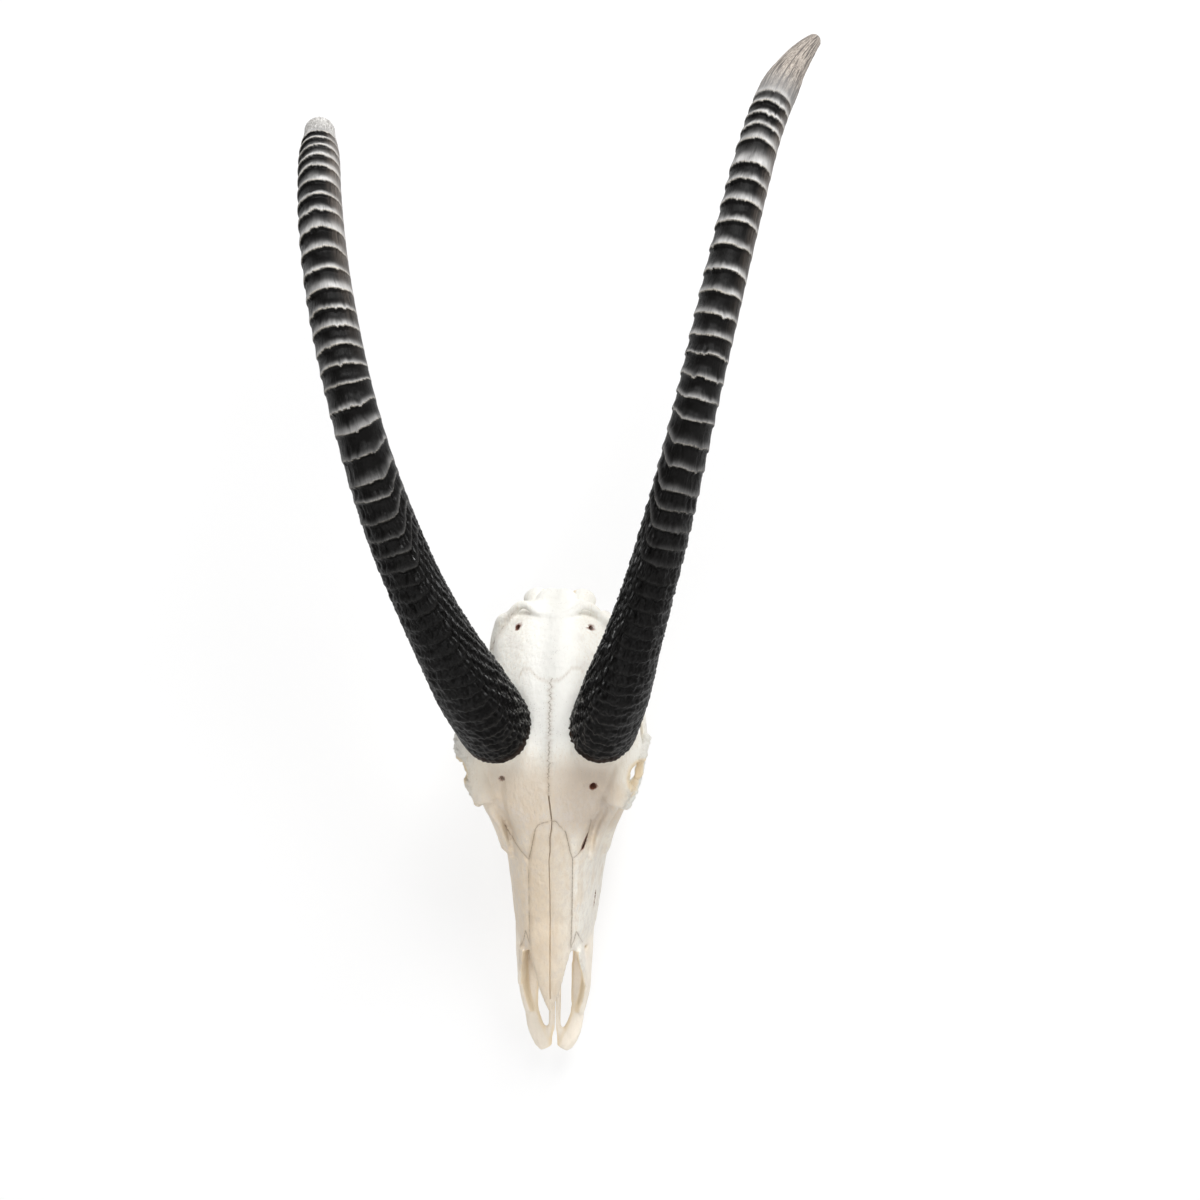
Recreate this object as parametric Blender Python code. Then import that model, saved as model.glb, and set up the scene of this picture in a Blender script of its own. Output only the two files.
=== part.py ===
"""Sable antelope skull: one bone skull, two ringed horns and twelve upper cheek teeth.

Metres, +Z up. The muzzle points to -Y and the horns sweep back to +Y. The tables below are in
millimetres, measured from the tip of the muzzle (y), the midline (x) and the resting plane (z).
"""
import math

import bmesh
import bpy
import numpy as np
from mathutils import Vector

MM = 0.001

# What each piece is made of: colour, roughness, metallic
BONE = ((0.80, 0.73, 0.62), 0.6, 0.0)
HORN = ((0.025, 0.023, 0.022), 0.5, 0.0)
ENAMEL = ((0.78, 0.68, 0.50), 0.35, 0.0)

# Fineness of the fused bone
VOXEL = 1.9
BONE_TRIANGLES = 4350
SOFTEN_STEPS = 6
PART_GAP = 0.3

# Braincase and face. Each row is y, top height, then half width and height of the roof's shoulder,
# of the upper side, of the widest side and of the lower edge, and last the height of the underside.
VAULT = [
    (102, 103, 17.5, 101, 26, 84, 31.5, 54, 29, 30, 26),
    (125, 109, 19, 106, 29, 90, 34.5, 60, 31, 27, 25),
    (160, 121, 20, 117, 31, 100, 38, 68, 37, 27, 25),
    (190, 132, 22, 127, 34, 107, 43, 72, 42, 28, 26),
    (215, 141, 28, 136, 40, 115, 49, 82, 44, 34, 28),
    (235, 148, 42, 140, 52, 124, 47, 92, 38, 46, 36),
    (255, 154, 53, 146, 58, 134, 36, 102, 27, 62, 47),
    (280, 160, 58, 150, 64, 138, 33, 106, 26, 62, 50),
    (300, 164, 58, 150, 62, 136, 38, 108, 29, 62, 50),
    (325, 161, 46, 149, 48, 128, 44, 100, 31, 60, 48),
    (350, 152, 42, 142, 50, 120, 50, 94, 34, 56, 45),
    (375, 138, 40, 128, 51, 110, 49, 86, 36, 56, 44),
    (392, 121, 32, 115, 44, 98, 42, 80, 30, 56, 45),
    (405, 100, 22, 96, 28, 84, 28, 70, 22, 54, 47),
]
VAULT_RIBS = 60
VAULT_SIDES = 40

# Rods, bars and plates grown onto the vault, on one side and mirrored to the other.
# Each row is x, y, z, half width and half height.
LIMBS = {
    "incisor_plate": [
        (23.5, 118, 28, 8, 3.5), (23.5, 90, 28, 8.5, 3.2), (23, 60, 28, 9, 3.2), (21, 36, 27, 6.5, 3.4),
        (17.5, 19, 25.5, 7.8, 4.2), (10.8, 6, 24.5, 8.9, 4.8), (7, -1.5, 24, 6, 4.4),
    ],
    "incisor_wall": [
        (31, 120, 46, 4.2, 20), (30.5, 95, 44, 4, 18), (29.5, 70, 38, 3.8, 12), (27.5, 50, 33, 3.8, 8),
        (23, 33, 29, 4, 5),
    ],
    "incisor_rim": [
        (24, 108, 84, 3.6, 15), (25, 97, 78, 3.6, 14), (27, 84, 63, 3.6, 13), (29, 68, 47, 3.6, 11),
    ],
    "palatine_rod": [
        (6, 4, 24, 4, 3.5), (3.2, 20, 25, 2.8, 3), (3.2, 45, 28, 2.6, 4), (3.5, 75, 31, 2.8, 6),
        (4, 106, 33, 3, 8),
    ],
    "alveolar_bar": [
        (27.5, 104, 34, 5, 9), (29, 124, 36, 8.5, 16), (32, 150, 36, 9, 16), (36, 185, 36, 10, 16),
        (39.5, 216, 38, 9.5, 18), (38, 238, 48, 7, 12),
    ],
    "cheek": [(41, 188, 58, 8, 12), (48, 210, 74, 7, 13), (59, 232, 87, 5.5, 12), (71, 249, 87, 5, 7)],
    "lacrimal": [
        (52, 246, 121, 9, 20), (51, 234, 115, 7, 24), (46.5, 222, 106, 5, 25), (41, 207, 97, 4.5, 24),
        (36, 190, 90, 4, 22),
    ],
    "brow": [(53, 236, 140, 10, 6), (62, 262, 147, 10, 5), (68, 284, 145, 10, 5), (64, 300, 139, 9, 6)],
    "arch": [
        (73, 253, 86, 3.8, 8), (77.5, 284, 84, 3.4, 8), (74, 314, 79, 3.2, 7),
        (64, 338, 73, 5, 7), (48, 352, 74, 8, 8), (40, 358, 76, 8, 8),
    ],
    "temporal_crest": [
        (48, 340, 104, 4, 6), (53, 362, 104, 4, 7), (48, 386, 112, 4, 6), (42, 392, 114, 4, 5),
    ],
    "ear_tube": [(34, 362, 66, 6, 6), (56, 370, 77, 6, 6)],
    "paracondylar": [(40, 386, 74, 8, 9), (40, 391, 48, 7, 7), (37, 391, 20, 5, 5), (35, 388, -5, 4, 4)],
    "pterygoid": [
        (18, 222, 44, 2.4, 14), (18, 250, 42, 2.2, 15), (16, 282, 46, 2.2, 12), (15, 306, 52, 3, 5),
    ],
}
CREST = [
    (-51, 372, 104, 5, 6), (-42, 389, 113, 4, 5), (-28, 402, 117, 4, 4), (-13, 395, 119, 4, 4),
    (0, 392, 120, 4, 4), (13, 395, 119, 4, 4), (28, 402, 117, 4, 4), (42, 389, 113, 4, 5),
    (51, 372, 104, 5, 6),
]
NASALS = [(0, 48, 91.5, 1.5, 1.6), (0, 57, 93.5, 5.5, 2.4), (0, 72, 97, 10.5, 3.2), (0, 86, 100, 14, 3.8),
          (0, 102, 102, 18, 4.5), (0, 118, 105, 19, 5)]
PALATE_FRONT = [(0, 94, 28, 20, 3), (0, 104, 28, 27, 3.3), (0, 120, 28, 29, 3.5)]

# Round lumps: centre x, y, z and radii
LUMPS = {
    "condyle": (20, 406.5, 57, 12.5, 10.5, 14.5),
    "nape_rim": (5, 403, 88, 15, 14, 9),
    "bulla": (30, 358, 42, 9, 15, 15),
    "jaw_joint": (54, 336, 67, 15, 12, 6),
}

# Rim of the eye socket, front edge first, then over the top
RIM = [(65, 232, 104), (62, 235, 124), (66, 246, 140), (73, 264, 146), (78, 281, 141), (80, 289, 121),
       (79, 286, 98), (77, 272, 86), (72, 250, 86)]
RIM_THICK = 4.0

# Hollows: rows as for the limbs
NOSE = [(0, 60, 65, 22, 28), (0, 95, 66, 23, 31), (0, 130, 69, 25, 35), (0, 165, 74, 28, 40),
        (0, 195, 80, 30, 43), (0, 222, 84, 24, 38), (0, 240, 84, 12, 22)]
CHOANA = [(0, 205, 62, 14, 14), (0, 232, 48, 14.5, 20), (0, 256, 30, 14, 20), (0, 272, 14, 13, 20)]
SPINAL = [(0, 358, 90, 14, 14), (0, 392, 69, 13, 12), (0, 430, 60, 13, 12)]
BRAIN = (0, 342, 104, 36, 46, 35)
SOCKET = [(22, 276, 110, 11, 11), (38, 271, 112, 20, 20), (55, 266, 113, 25, 25),
          (72, 261, 115, 25.5, 25.5), (98, 254, 117, 27, 27)]

# Horns. Rise and splay are the sheath's direction in degrees, at even steps along the length.
# The tips are worn, so each sheath stops short at its end, in a dome.
SEAT = (45, 303, 161)
SEAT_TILT = 68
SEAT_BLEND = 80
SEAT_ROOM = 1.0
SEAT_CUT_PLACES = (0, 10, 20, 30, 40)
PEDICLE_RADII = (26, 30)
PEDICLE_HEIGHTS = (-34, -12, 8)
HORNS = {
    "horn_left": {"side": -1, "length": 656, "end": 627, "dome": 12, "thick": 1.04,
                  "rise": (50, 31, 9, -20, -43, -56), "splay": (27.5, 23.5, 17, 14, 13, 18)},
    "horn_right": {"side": 1, "length": 664, "end": 662, "dome": 7, "thick": 0.96,
                   "rise": (49, 28, 7, -11, -27, -40), "splay": (20, 16.5, 12.5, 12, 16, 38)},
}
# Share of the length from the base, half width and half depth over the ring crests
HORN_RADII = [(0, 30, 32), (0.08, 28.6, 31.5), (0.15, 24.6, 28.5), (0.22, 21.8, 26), (0.3, 20.2, 24),
              (0.42, 18, 21.5), (0.6, 17.4, 19.5), (0.78, 16.6, 17.8), (0.875, 15.2, 15.6),
              (0.92, 11.5, 11.5), (0.97, 8, 8), (1.0, 5, 5)]
# Distance from the base and extra radius there, where a tip is worn blunt
TIP_SWELL = {
    "horn_left": [(560, 0), (600, 0.8), (616, 2.2), (630, 3.4), (656, 4)],
    "horn_right": [(560, 0), (586, 0.9), (618, 0.9), (650, 0), (664, 0)],
}
# Share of the length from the base and the distance between ring crests there
RING_STEPS = [(0, 10.5), (0.14, 12), (0.22, 15), (0.33, 16), (0.42, 19), (0.5, 16), (0.6, 18),
              (0.72, 21), (0.8, 18), (0.88, 13)]
FIRST_RING = 8.0
RINGS_END = 0.875
RING_HEIGHT = 2.4
RING_STEP_LENGTH = 2.5
SMOOTH_TIP_START = 6
DOME_BENDS = (35, 62, 82)
HORN_SIDES = 12

# Upper cheek teeth, front to back: length along the row, width, lobes, and the row itself
TEETH = {"premolar_2": (12, 11, 1), "premolar_3": (14, 13, 1), "premolar_4": (14, 14, 1),
         "molar_1": (17, 16, 2), "molar_2": (20, 17, 2), "molar_3": (20, 16, 2)}
TOOTH_ROW_START = 124
TOOTH_ROW_X = [(120, 28.5), (150, 31.5), (185, 36), (228, 39.5)]
TOOTH_GAP = 0.8
TOOTH_TOP = 31
SOCKET_START = 12
# Scale of the outline at the chewing face, at the gum and at the root
CROWN_SCALES = (0.9, 1, 0.86)
CROWN_SIDES = {1: 8, 2: 12}
CROWN_SQUARENESS = 0.6
WAIST = 0.86
WAIST_REACH = 0.35

# The slab under the resting plane: half width, front, back and depth
REST_SLAB = (60, 360, 420, -20)


def blend_table(rows, at):
    """Values at one place along rows whose first column is the place, on a smooth curve."""
    table = np.array(rows, float)
    place = table[:, 0]
    slope = np.gradient(table[:, 1:], place, axis=0)
    i = int(np.clip(np.searchsorted(place, at) - 1, 0, len(place) - 2))
    gap = place[i + 1] - place[i]
    t = (at - place[i]) / gap
    start, end = table[i, 1:], table[i + 1, 1:]
    return (start * (2 * t**3 - 3 * t**2 + 1) + end * (3 * t**2 - 2 * t**3)
            + gap * (slope[i] * (t**3 - 2 * t**2 + t) + slope[i + 1] * (t**3 - t**2)))


def smooth_rows(rows, per_step):
    """More rows between the given ones, on a smooth curve through them."""
    table = [(i, *row) for i, row in enumerate(rows)]
    count = (len(rows) - 1) * per_step
    return [blend_table(table, i / per_step) for i in range(count + 1)]


def skin(bm, rings):
    """Closed skin over rings of points, with a cap on each end."""
    loops = [[bm.verts.new(Vector(p) * MM) for p in ring] for ring in rings]
    count = len(loops[0])
    for near, far in zip(loops, loops[1:]):
        for i in range(count):
            j = (i + 1) % count
            bm.faces.new((near[i], near[j], far[j], far[i]))
    bm.faces.new(reversed(loops[0]))
    bm.faces.new(loops[-1])


def circle_points(sides):
    """Evenly spaced angles once round."""
    return np.linspace(0, 2 * math.pi, sides, endpoint=False)


def limb(bm, rows, side=1, sides=14, per_step=5):
    """A bar of oval section along a path; half width is sideways, half height is upright."""
    rows = [np.array(row) * (side, 1, 1, 1, 1) for row in smooth_rows(rows, per_step)]
    rings = []
    for i, row in enumerate(rows):
        ahead = Vector(rows[min(i + 1, len(rows) - 1)][:3] - rows[max(i - 1, 0)][:3]).normalized()
        across = ahead.cross(Vector((0, 0, 1)))
        across = Vector((1, 0, 0)) if across.length < 0.35 else across.normalized()
        upright = across.cross(ahead).normalized()
        centre = Vector(row[:3])
        rings.append([centre + across * row[3] * math.cos(a) + upright * row[4] * math.sin(a)
                      for a in circle_points(sides)])
    skin(bm, rings)


def ring_bar(bm, points, thick, side=1, sides=10, per_step=4):
    """A closed ring of round section through the points."""
    wrapped = points[-2:] + points + points[:2]
    path = smooth_rows([(side * x, y, z) for x, y, z in wrapped], per_step)[2 * per_step:-per_step]
    path = [Vector(p) for p in path[:-1]]
    centre = sum(path, Vector()) / len(path)
    loops = []
    for i, point in enumerate(path):
        ahead = (path[(i + 1) % len(path)] - path[i - 1]).normalized()
        outward = point - centre
        outward = (outward - ahead * outward.dot(ahead)).normalized()
        sideways = ahead.cross(outward)
        ring = [point + (outward * math.cos(a) + sideways * math.sin(a)) * thick
                for a in circle_points(sides)]
        loops.append([bm.verts.new(p * MM) for p in ring])
    for k, loop in enumerate(loops):
        following = loops[(k + 1) % len(loops)]
        for i in range(sides):
            j = (i + 1) % sides
            bm.faces.new((loop[i], loop[j], following[j], following[i]))


def lump(bm, shape, side=1):
    """A round lump with three radii."""
    x, y, z, wide, long, tall = shape
    made = bmesh.ops.create_icosphere(bm, subdivisions=3, radius=MM)
    for vert in made["verts"]:
        stretched = Vector((vert.co.x * wide, vert.co.y * long, vert.co.z * tall))
        vert.co = stretched + Vector((side * x, y, z)) * MM


def vault_ring(y):
    """The outline of the skull's body at one place, top first."""
    row = blend_table(VAULT, y)
    top, low = row[0], row[-1]
    right = [(row[i], row[i + 1]) for i in (1, 3, 5, 7)]
    corners = [(0, top)] + right + [(0, low)] + [(-x, z) for x, z in reversed(right)]
    wrapped = corners[-2:] + corners + corners[:3]
    curve = np.array(smooth_rows(wrapped, 8))[16:-16]
    spread = np.concatenate([[0], np.cumsum(np.linalg.norm(np.diff(curve, axis=0), axis=1))])
    places = np.linspace(0, spread[-1], VAULT_SIDES, endpoint=False)
    return [(np.interp(p, spread, curve[:, 0]), y, np.interp(p, spread, curve[:, 1])) for p in places]


def new_object(name, bm):
    """A mesh object holding the shapes in bm, with its faces pointing out."""
    bmesh.ops.recalc_face_normals(bm, faces=bm.faces)
    mesh = bpy.data.meshes.new(name)
    bm.to_mesh(mesh)
    bm.free()
    obj = bpy.data.objects.new(name, mesh)
    bpy.context.collection.objects.link(obj)
    return obj


def lean(side, splay, rise):
    """A direction from its rise above level and its splay away from the midline."""
    splay, rise = math.radians(side * splay), math.radians(rise)
    return Vector((math.cos(rise) * math.sin(splay), math.cos(rise) * math.cos(splay), math.sin(rise)))


def seat_of(horn):
    """The middle of a horn's seat and the direction that its plane faces."""
    seat = Vector((horn["side"] * SEAT[0], SEAT[1], SEAT[2]))
    return seat, lean(horn["side"], horn["splay"][0], SEAT_TILT)


def horn_path(horn):
    """Points one millimetre apart along the middle of the sheath, with the direction at each."""
    seat, facing = seat_of(horn)
    steps = len(horn["rise"]) - 1
    rows = [(i / steps, horn["splay"][i], horn["rise"][i]) for i in range(steps + 1)]
    point = seat + facing * PART_GAP
    path = []
    for s in range(horn["length"] + 1):
        direction = lean(horn["side"], *blend_table(rows, s / horn["length"]))
        path.append((point.copy(), direction))
        point += direction
    return path


def radii_of(name, s):
    """Half width and half depth of a sheath over its ring crests, at distance s."""
    horn = HORNS[name]
    places, extra = zip(*TIP_SWELL[name])
    return blend_table(HORN_RADII, s / horn["length"]) * horn["thick"] + np.interp(s, places, extra)


def horn_ring(name, path, s, shrink=0.0, share=1.0):
    """The outline of the sheath at distance s; the lowest ones turn to lie along the seat."""
    facing = seat_of(HORNS[name])[1]
    centre, ahead = path[int(round(s))]
    t = min(s / SEAT_BLEND, 1)
    normal = facing.lerp(ahead, t * t * (3 - 2 * t)).normalized()
    across = ahead.cross(Vector((0, 0, 1))).normalized()
    across = (across - normal * across.dot(normal)).normalized()
    upright = across.cross(normal).normalized()
    wide, deep = (radii_of(name, s) - shrink) * share
    deep = deep / upright.dot(across.cross(ahead).normalized())
    return [centre + across * wide * math.cos(a) + upright * deep * math.sin(a)
            for a in circle_points(HORN_SIDES)]


def ring_places(horn):
    """Distance of each ring crest from the base."""
    places = [FIRST_RING]
    while places[-1] < RINGS_END * horn["length"]:
        places.append(places[-1] + float(blend_table(RING_STEPS, places[-1] / horn["length"])[0]))
    return places


def build_horn(name):
    """A solid sheath whose rings each rise in a short step and sink slowly towards the tip."""
    horn = HORNS[name]
    path = horn_path(horn)
    stations = [(0, RING_HEIGHT * 0.5)]
    for crest in ring_places(horn):
        stations += [(crest - RING_STEP_LENGTH, RING_HEIGHT), (crest, 0)]
    dome_start = horn["end"] - horn["dome"]
    stations += [(s, 0) for s in np.linspace(stations[-1][0] + SMOOTH_TIP_START, dome_start, 4)]
    rings = [horn_ring(name, path, s, shrink) for s, shrink in stations]
    for bend in np.radians(DOME_BENDS):
        s = dome_start + horn["dome"] * math.sin(bend)
        rings.append(horn_ring(name, path, s, share=math.cos(bend)))
    bm = bmesh.new()
    skin(bm, rings)
    return new_object(name, bm)


def build_seat_cutter(name):
    """The room that a sheath takes above its seat on the bone."""
    path = horn_path(HORNS[name])
    facing = seat_of(HORNS[name])[1]
    rings = [horn_ring(name, path, s, -SEAT_ROOM) for s in SEAT_CUT_PLACES]
    rings[0] = [p - facing * PART_GAP for p in rings[0]]
    bm = bmesh.new()
    skin(bm, rings)
    return new_object(name + "_seat", bm)


def tooth_outline(length, width, lobes):
    """A crown's outline about its own middle: a rounded block, with a waist if it has two lobes."""
    sides = CROWN_SIDES[lobes]
    points = []
    for a in circle_points(sides) + math.pi / sides:
        x, y = math.cos(a), math.sin(a)
        squared = max(abs(x), abs(y)) ** CROWN_SQUARENESS
        x, y = x / squared, y / squared
        if lobes == 2 and abs(y) < WAIST_REACH:
            x *= WAIST
        points.append((x * width / 2, y * length / 2))
    return points


def build_tooth(name, side, kind, middle):
    """One tooth and the socket cutter that clears it."""
    length, width, lobes = TEETH[kind]
    outline = tooth_outline(length, width, lobes)
    x0 = side * float(blend_table(TOOTH_ROW_X, middle)[0])

    def ring(z, scale, grow=0.0):
        return [(x0 + x * (scale + 2 * grow / width), middle + y * (scale + 2 * grow / length), z)
                for x, y in outline]

    face, gum, root = CROWN_SCALES
    bm = bmesh.new()
    skin(bm, [ring(0, face), ring(SOCKET_START, gum), ring(TOOTH_TOP, root)])
    tooth = new_object(name, bm)
    bm = bmesh.new()
    skin(bm, [ring(SOCKET_START, gum, PART_GAP), ring(TOOTH_TOP + PART_GAP, root, PART_GAP)])
    return tooth, new_object(name + "_socket", bm)


def build_bone():
    """All the bony forms as overlapping solids; the remesh later fuses them."""
    bm = bmesh.new()
    first, last = VAULT[0][0], VAULT[-1][0]
    skin(bm, [vault_ring(y) for y in np.linspace(first, last, VAULT_RIBS)])
    for rows in (NASALS, PALATE_FRONT, CREST):
        limb(bm, rows)
    for side in (-1, 1):
        for rows in LIMBS.values():
            limb(bm, rows, side)
        for shape in LUMPS.values():
            lump(bm, shape, side)
        ring_bar(bm, RIM, RIM_THICK, side)
    for horn in HORNS.values():
        seat, facing = seat_of(horn)
        limb(bm, [(*(seat + facing * h), *PEDICLE_RADII) for h in PEDICLE_HEIGHTS])
    return new_object("skull", bm)


def build_hollows():
    """Nose, throat, braincase and eye sockets as one cutter."""
    bm = bmesh.new()
    for rows in (NOSE, CHOANA, SPINAL):
        limb(bm, rows)
    lump(bm, BRAIN)
    for side in (-1, 1):
        limb(bm, SOCKET, side)
    return new_object("hollows", bm)


def build_floor_cutter():
    """A slab under the resting plane, which cuts the two jugular points off flat."""
    half, front, back, depth = REST_SLAB
    corners = ((-half, front), (half, front), (half, back), (-half, back))
    bm = bmesh.new()
    skin(bm, [[(x, y, z) for x, y in corners] for z in (depth, 0)])
    return new_object("floor_cutter", bm)


def add_modifier(obj, kind, name, **values):
    """A modifier with its values set."""
    modifier = obj.modifiers.new(name, kind)
    for key, value in values.items():
        setattr(modifier, key, value)
    return modifier


def cut(obj, cutter):
    """Take the cutter out of the object and keep the cutter as a wire helper."""
    add_modifier(obj, "BOOLEAN", "cut_" + cutter.name, operation="DIFFERENCE", object=cutter, solver="EXACT")
    cutter.hide_render = True
    cutter.display_type = "WIRE"


def triangles_of(obj):
    """Triangles in the object as its modifiers leave it."""
    bpy.context.view_layer.update()
    mesh = obj.evaluated_get(bpy.context.evaluated_depsgraph_get()).data
    mesh.calc_loop_triangles()
    return len(mesh.loop_triangles)


def dress(obj, name, look):
    """A Principled material of the piece's own."""
    colour, roughness, metallic = look
    material = bpy.data.materials.new(name)
    material.use_nodes = True
    shader = material.node_tree.nodes["Principled BSDF"]
    shader.inputs["Base Color"].default_value = (*colour, 1)
    shader.inputs["Roughness"].default_value = roughness
    shader.inputs["Metallic"].default_value = metallic
    obj.data.materials.append(material)


def build_skull(cutters):
    """The bone: fused, hollowed, smoothed, thinned to its budget, then cut for its neighbours."""
    skull = build_bone()
    hollows = build_hollows()
    add_modifier(hollows, "REMESH", "fuse", mode="VOXEL", voxel_size=VOXEL * MM)
    add_modifier(skull, "REMESH", "fuse", mode="VOXEL", voxel_size=VOXEL * MM)
    cut(skull, hollows)
    add_modifier(skull, "REMESH", "even", mode="VOXEL", voxel_size=VOXEL * MM)
    add_modifier(skull, "SMOOTH", "soften", factor=0.5, iterations=SOFTEN_STEPS)
    ratio = BONE_TRIANGLES / triangles_of(skull)
    add_modifier(skull, "DECIMATE", "thin", ratio=ratio, use_collapse_triangulate=True)
    for cutter in cutters:
        cut(skull, cutter)
    return skull


def centre_on_base(pieces):
    """Put the model's origin under the middle of its box, on the resting plane."""
    bpy.context.view_layer.update()
    graph = bpy.context.evaluated_depsgraph_get()
    corners = np.array([corner for piece in pieces for corner in piece.evaluated_get(graph).bound_box])
    low, high = corners.min(axis=0), corners.max(axis=0)
    frame = bpy.data.objects.new("skull_frame", None)
    frame.location = (-(low[0] + high[0]) / 2, -(low[1] + high[1]) / 2, -low[2])
    bpy.context.collection.objects.link(frame)
    for obj in bpy.data.objects:
        if obj is not frame:
            obj.parent = frame


def main():
    """Build every piece and place them in the shared frame."""
    for old in list(bpy.data.objects):
        bpy.data.objects.remove(old)
    horns = [build_horn(name) for name in HORNS]
    cutters = [build_seat_cutter(name) for name in HORNS]
    teeth = []
    for side, hand in ((-1, "left"), (1, "right")):
        place = TOOTH_ROW_START
        for kind, (length, _, _) in TEETH.items():
            tooth, socket = build_tooth(f"{kind}_{hand}", side, kind, place + length / 2)
            teeth.append(tooth)
            cutters.append(socket)
            place += length + TOOTH_GAP
    cutters.append(build_floor_cutter())
    skull = build_skull(cutters)
    dress(skull, "bone", BONE)
    for horn in horns:
        dress(horn, horn.name, HORN)
    for tooth in teeth:
        dress(tooth, tooth.name, ENAMEL)
    for piece in [skull, *horns]:
        piece.data.shade_smooth()
    centre_on_base([skull, *horns, *teeth])


main()
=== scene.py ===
# %% [markdown]
# A cleaned sable antelope skull, seen from above: pale bone, two black ringed horns and, hidden
# underneath, the upper cheek teeth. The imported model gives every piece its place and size. This
# script gives the bone, the horns and the teeth their fine shape and their finish.

# %% The frame
import math

import bmesh
import bpy
import numpy as np
from mathutils import Matrix, Vector, noise
from mathutils.bvhtree import BVHTree


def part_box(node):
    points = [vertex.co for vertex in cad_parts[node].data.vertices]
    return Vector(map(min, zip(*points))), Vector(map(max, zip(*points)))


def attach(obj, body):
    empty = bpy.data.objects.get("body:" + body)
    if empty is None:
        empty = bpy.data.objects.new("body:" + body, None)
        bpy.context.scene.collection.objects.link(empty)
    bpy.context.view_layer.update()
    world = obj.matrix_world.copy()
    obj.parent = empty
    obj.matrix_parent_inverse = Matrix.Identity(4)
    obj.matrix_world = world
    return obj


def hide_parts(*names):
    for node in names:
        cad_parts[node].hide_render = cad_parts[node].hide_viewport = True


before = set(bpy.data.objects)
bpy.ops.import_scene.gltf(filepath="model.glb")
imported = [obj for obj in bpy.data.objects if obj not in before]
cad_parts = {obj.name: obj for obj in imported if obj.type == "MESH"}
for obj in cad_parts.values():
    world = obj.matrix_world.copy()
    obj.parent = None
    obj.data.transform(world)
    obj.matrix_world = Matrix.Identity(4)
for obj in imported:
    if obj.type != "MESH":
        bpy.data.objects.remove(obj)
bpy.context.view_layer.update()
MM = 0.001

# %% [markdown]
# All measures below are millimetres on the animal: x from the midline, y back from the tip of the
# muzzle, z up from the plane that the skull rests on. The second molars are the surest landmark,
# because their middles are a known distance behind the muzzle, so they place that ruler.

# %% Where the skull's own ruler starts
MOLAR_MIDDLE = 194.2


def middle_of(node):
    """The middle of a node's box."""
    low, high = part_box(node)
    return (low + high) / 2


molars = middle_of("molar_2_left"), middle_of("molar_2_right")
ORIGIN = Vector(((molars[0].x + molars[1].x) / 2, molars[0].y - MOLAR_MIDDLE * MM, 0))


def place(x, y, z):
    """A point of the skull's ruler as a point of the scene."""
    return ORIGIN + Vector((x, y, z)) * MM


print("ruler starts at", tuple(round(v, 4) for v in ORIGIN))

# %% [markdown]
# The picture is taken from straight above, about a metre and a half up and a little to one side,
# with the muzzle towards the bottom edge. The camera is turned by the two small angles that make
# left and right eye sockets, cheeks and horn bases fall where they do in the picture.

# %% Camera
CAMERA_AT = (100, 407, 1525)
CAMERA_ROLL = 2.5
CAMERA_TURN = 1.0
FOCAL_SHARE = 1650 / 1200

camera = bpy.data.objects.new("camera", bpy.data.cameras.new("camera"))
bpy.context.scene.collection.objects.link(camera)
camera.data.sensor_width = 36
camera.data.lens = camera.data.sensor_width * FOCAL_SHARE
turn = Matrix.Rotation(math.radians(CAMERA_ROLL), 4, "Y") @ Matrix.Rotation(math.radians(CAMERA_TURN), 4, "Z")
camera.matrix_world = Matrix.Translation(place(*CAMERA_AT)) @ turn
camera.data.clip_end = 10
bpy.context.scene.camera = camera
print("lens", round(camera.data.lens, 1), "mm")

# %% [markdown]
# The skull lies on a plain white sweep that glows a little, as a light table does, so shadows stay
# faint. One large soft lamp beyond the horns' tips gives the rings their bright crests and dark
# steps, bleaches the nape and leaves the sloping face darker. A weaker one on the right makes that
# side of the face the whiter one. One overhead and one low in front of the muzzle keep the face
# from falling into shade.

# %% Floor and light
FLOOR_SIZE = 8.0
bpy.ops.object.select_all(action="DESELECT")
bpy.ops.mesh.primitive_plane_add(size=FLOOR_SIZE, location=(0, 0, -0.0005))
floor = bpy.context.object
floor.name = "floor"
bpy.ops.object.transform_apply(location=True, rotation=True, scale=True)

paper = bpy.data.materials.new("white_paper")
paper.use_nodes = True
paper_shader = paper.node_tree.nodes["Principled BSDF"]
paper_shader.inputs["Base Color"].default_value = (0.30, 0.30, 0.30, 1)
paper_shader.inputs["Roughness"].default_value = 0.9
paper_shader.inputs["Specular IOR Level"].default_value = 0.1
paper_shader.inputs["Emission Color"].default_value = (1, 1, 1, 1)
paper_shader.inputs["Emission Strength"].default_value = 0.7
floor.data.materials.append(paper)


def soft_lamp(name, at, towards, size, power):
    """A square area lamp that faces a point."""
    lamp = bpy.data.lights.new(name, "AREA")
    lamp.shape = "SQUARE"
    lamp.size = size
    lamp.energy = power
    obj = bpy.data.objects.new(name, lamp)
    bpy.context.scene.collection.objects.link(obj)
    obj.location = at
    obj.rotation_euler = (Vector(towards) - Vector(at)).to_track_quat("-Z", "Y").to_euler()
    return obj


soft_lamp("key", (0.5, 1.9, 1.8), (0, -0.1, 0.1), 1.3, 58)
soft_lamp("side", (1.8, -0.2, 1.3), (0, -0.1, 0.1), 1.2, 9)
soft_lamp("top", (-0.2, -0.7, 2.9), (0, -0.2, 0), 1.6, 17)
soft_lamp("front", (-0.4, -1.6, 1.5), (0, -0.38, 0.05), 1.3, 13)

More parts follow.
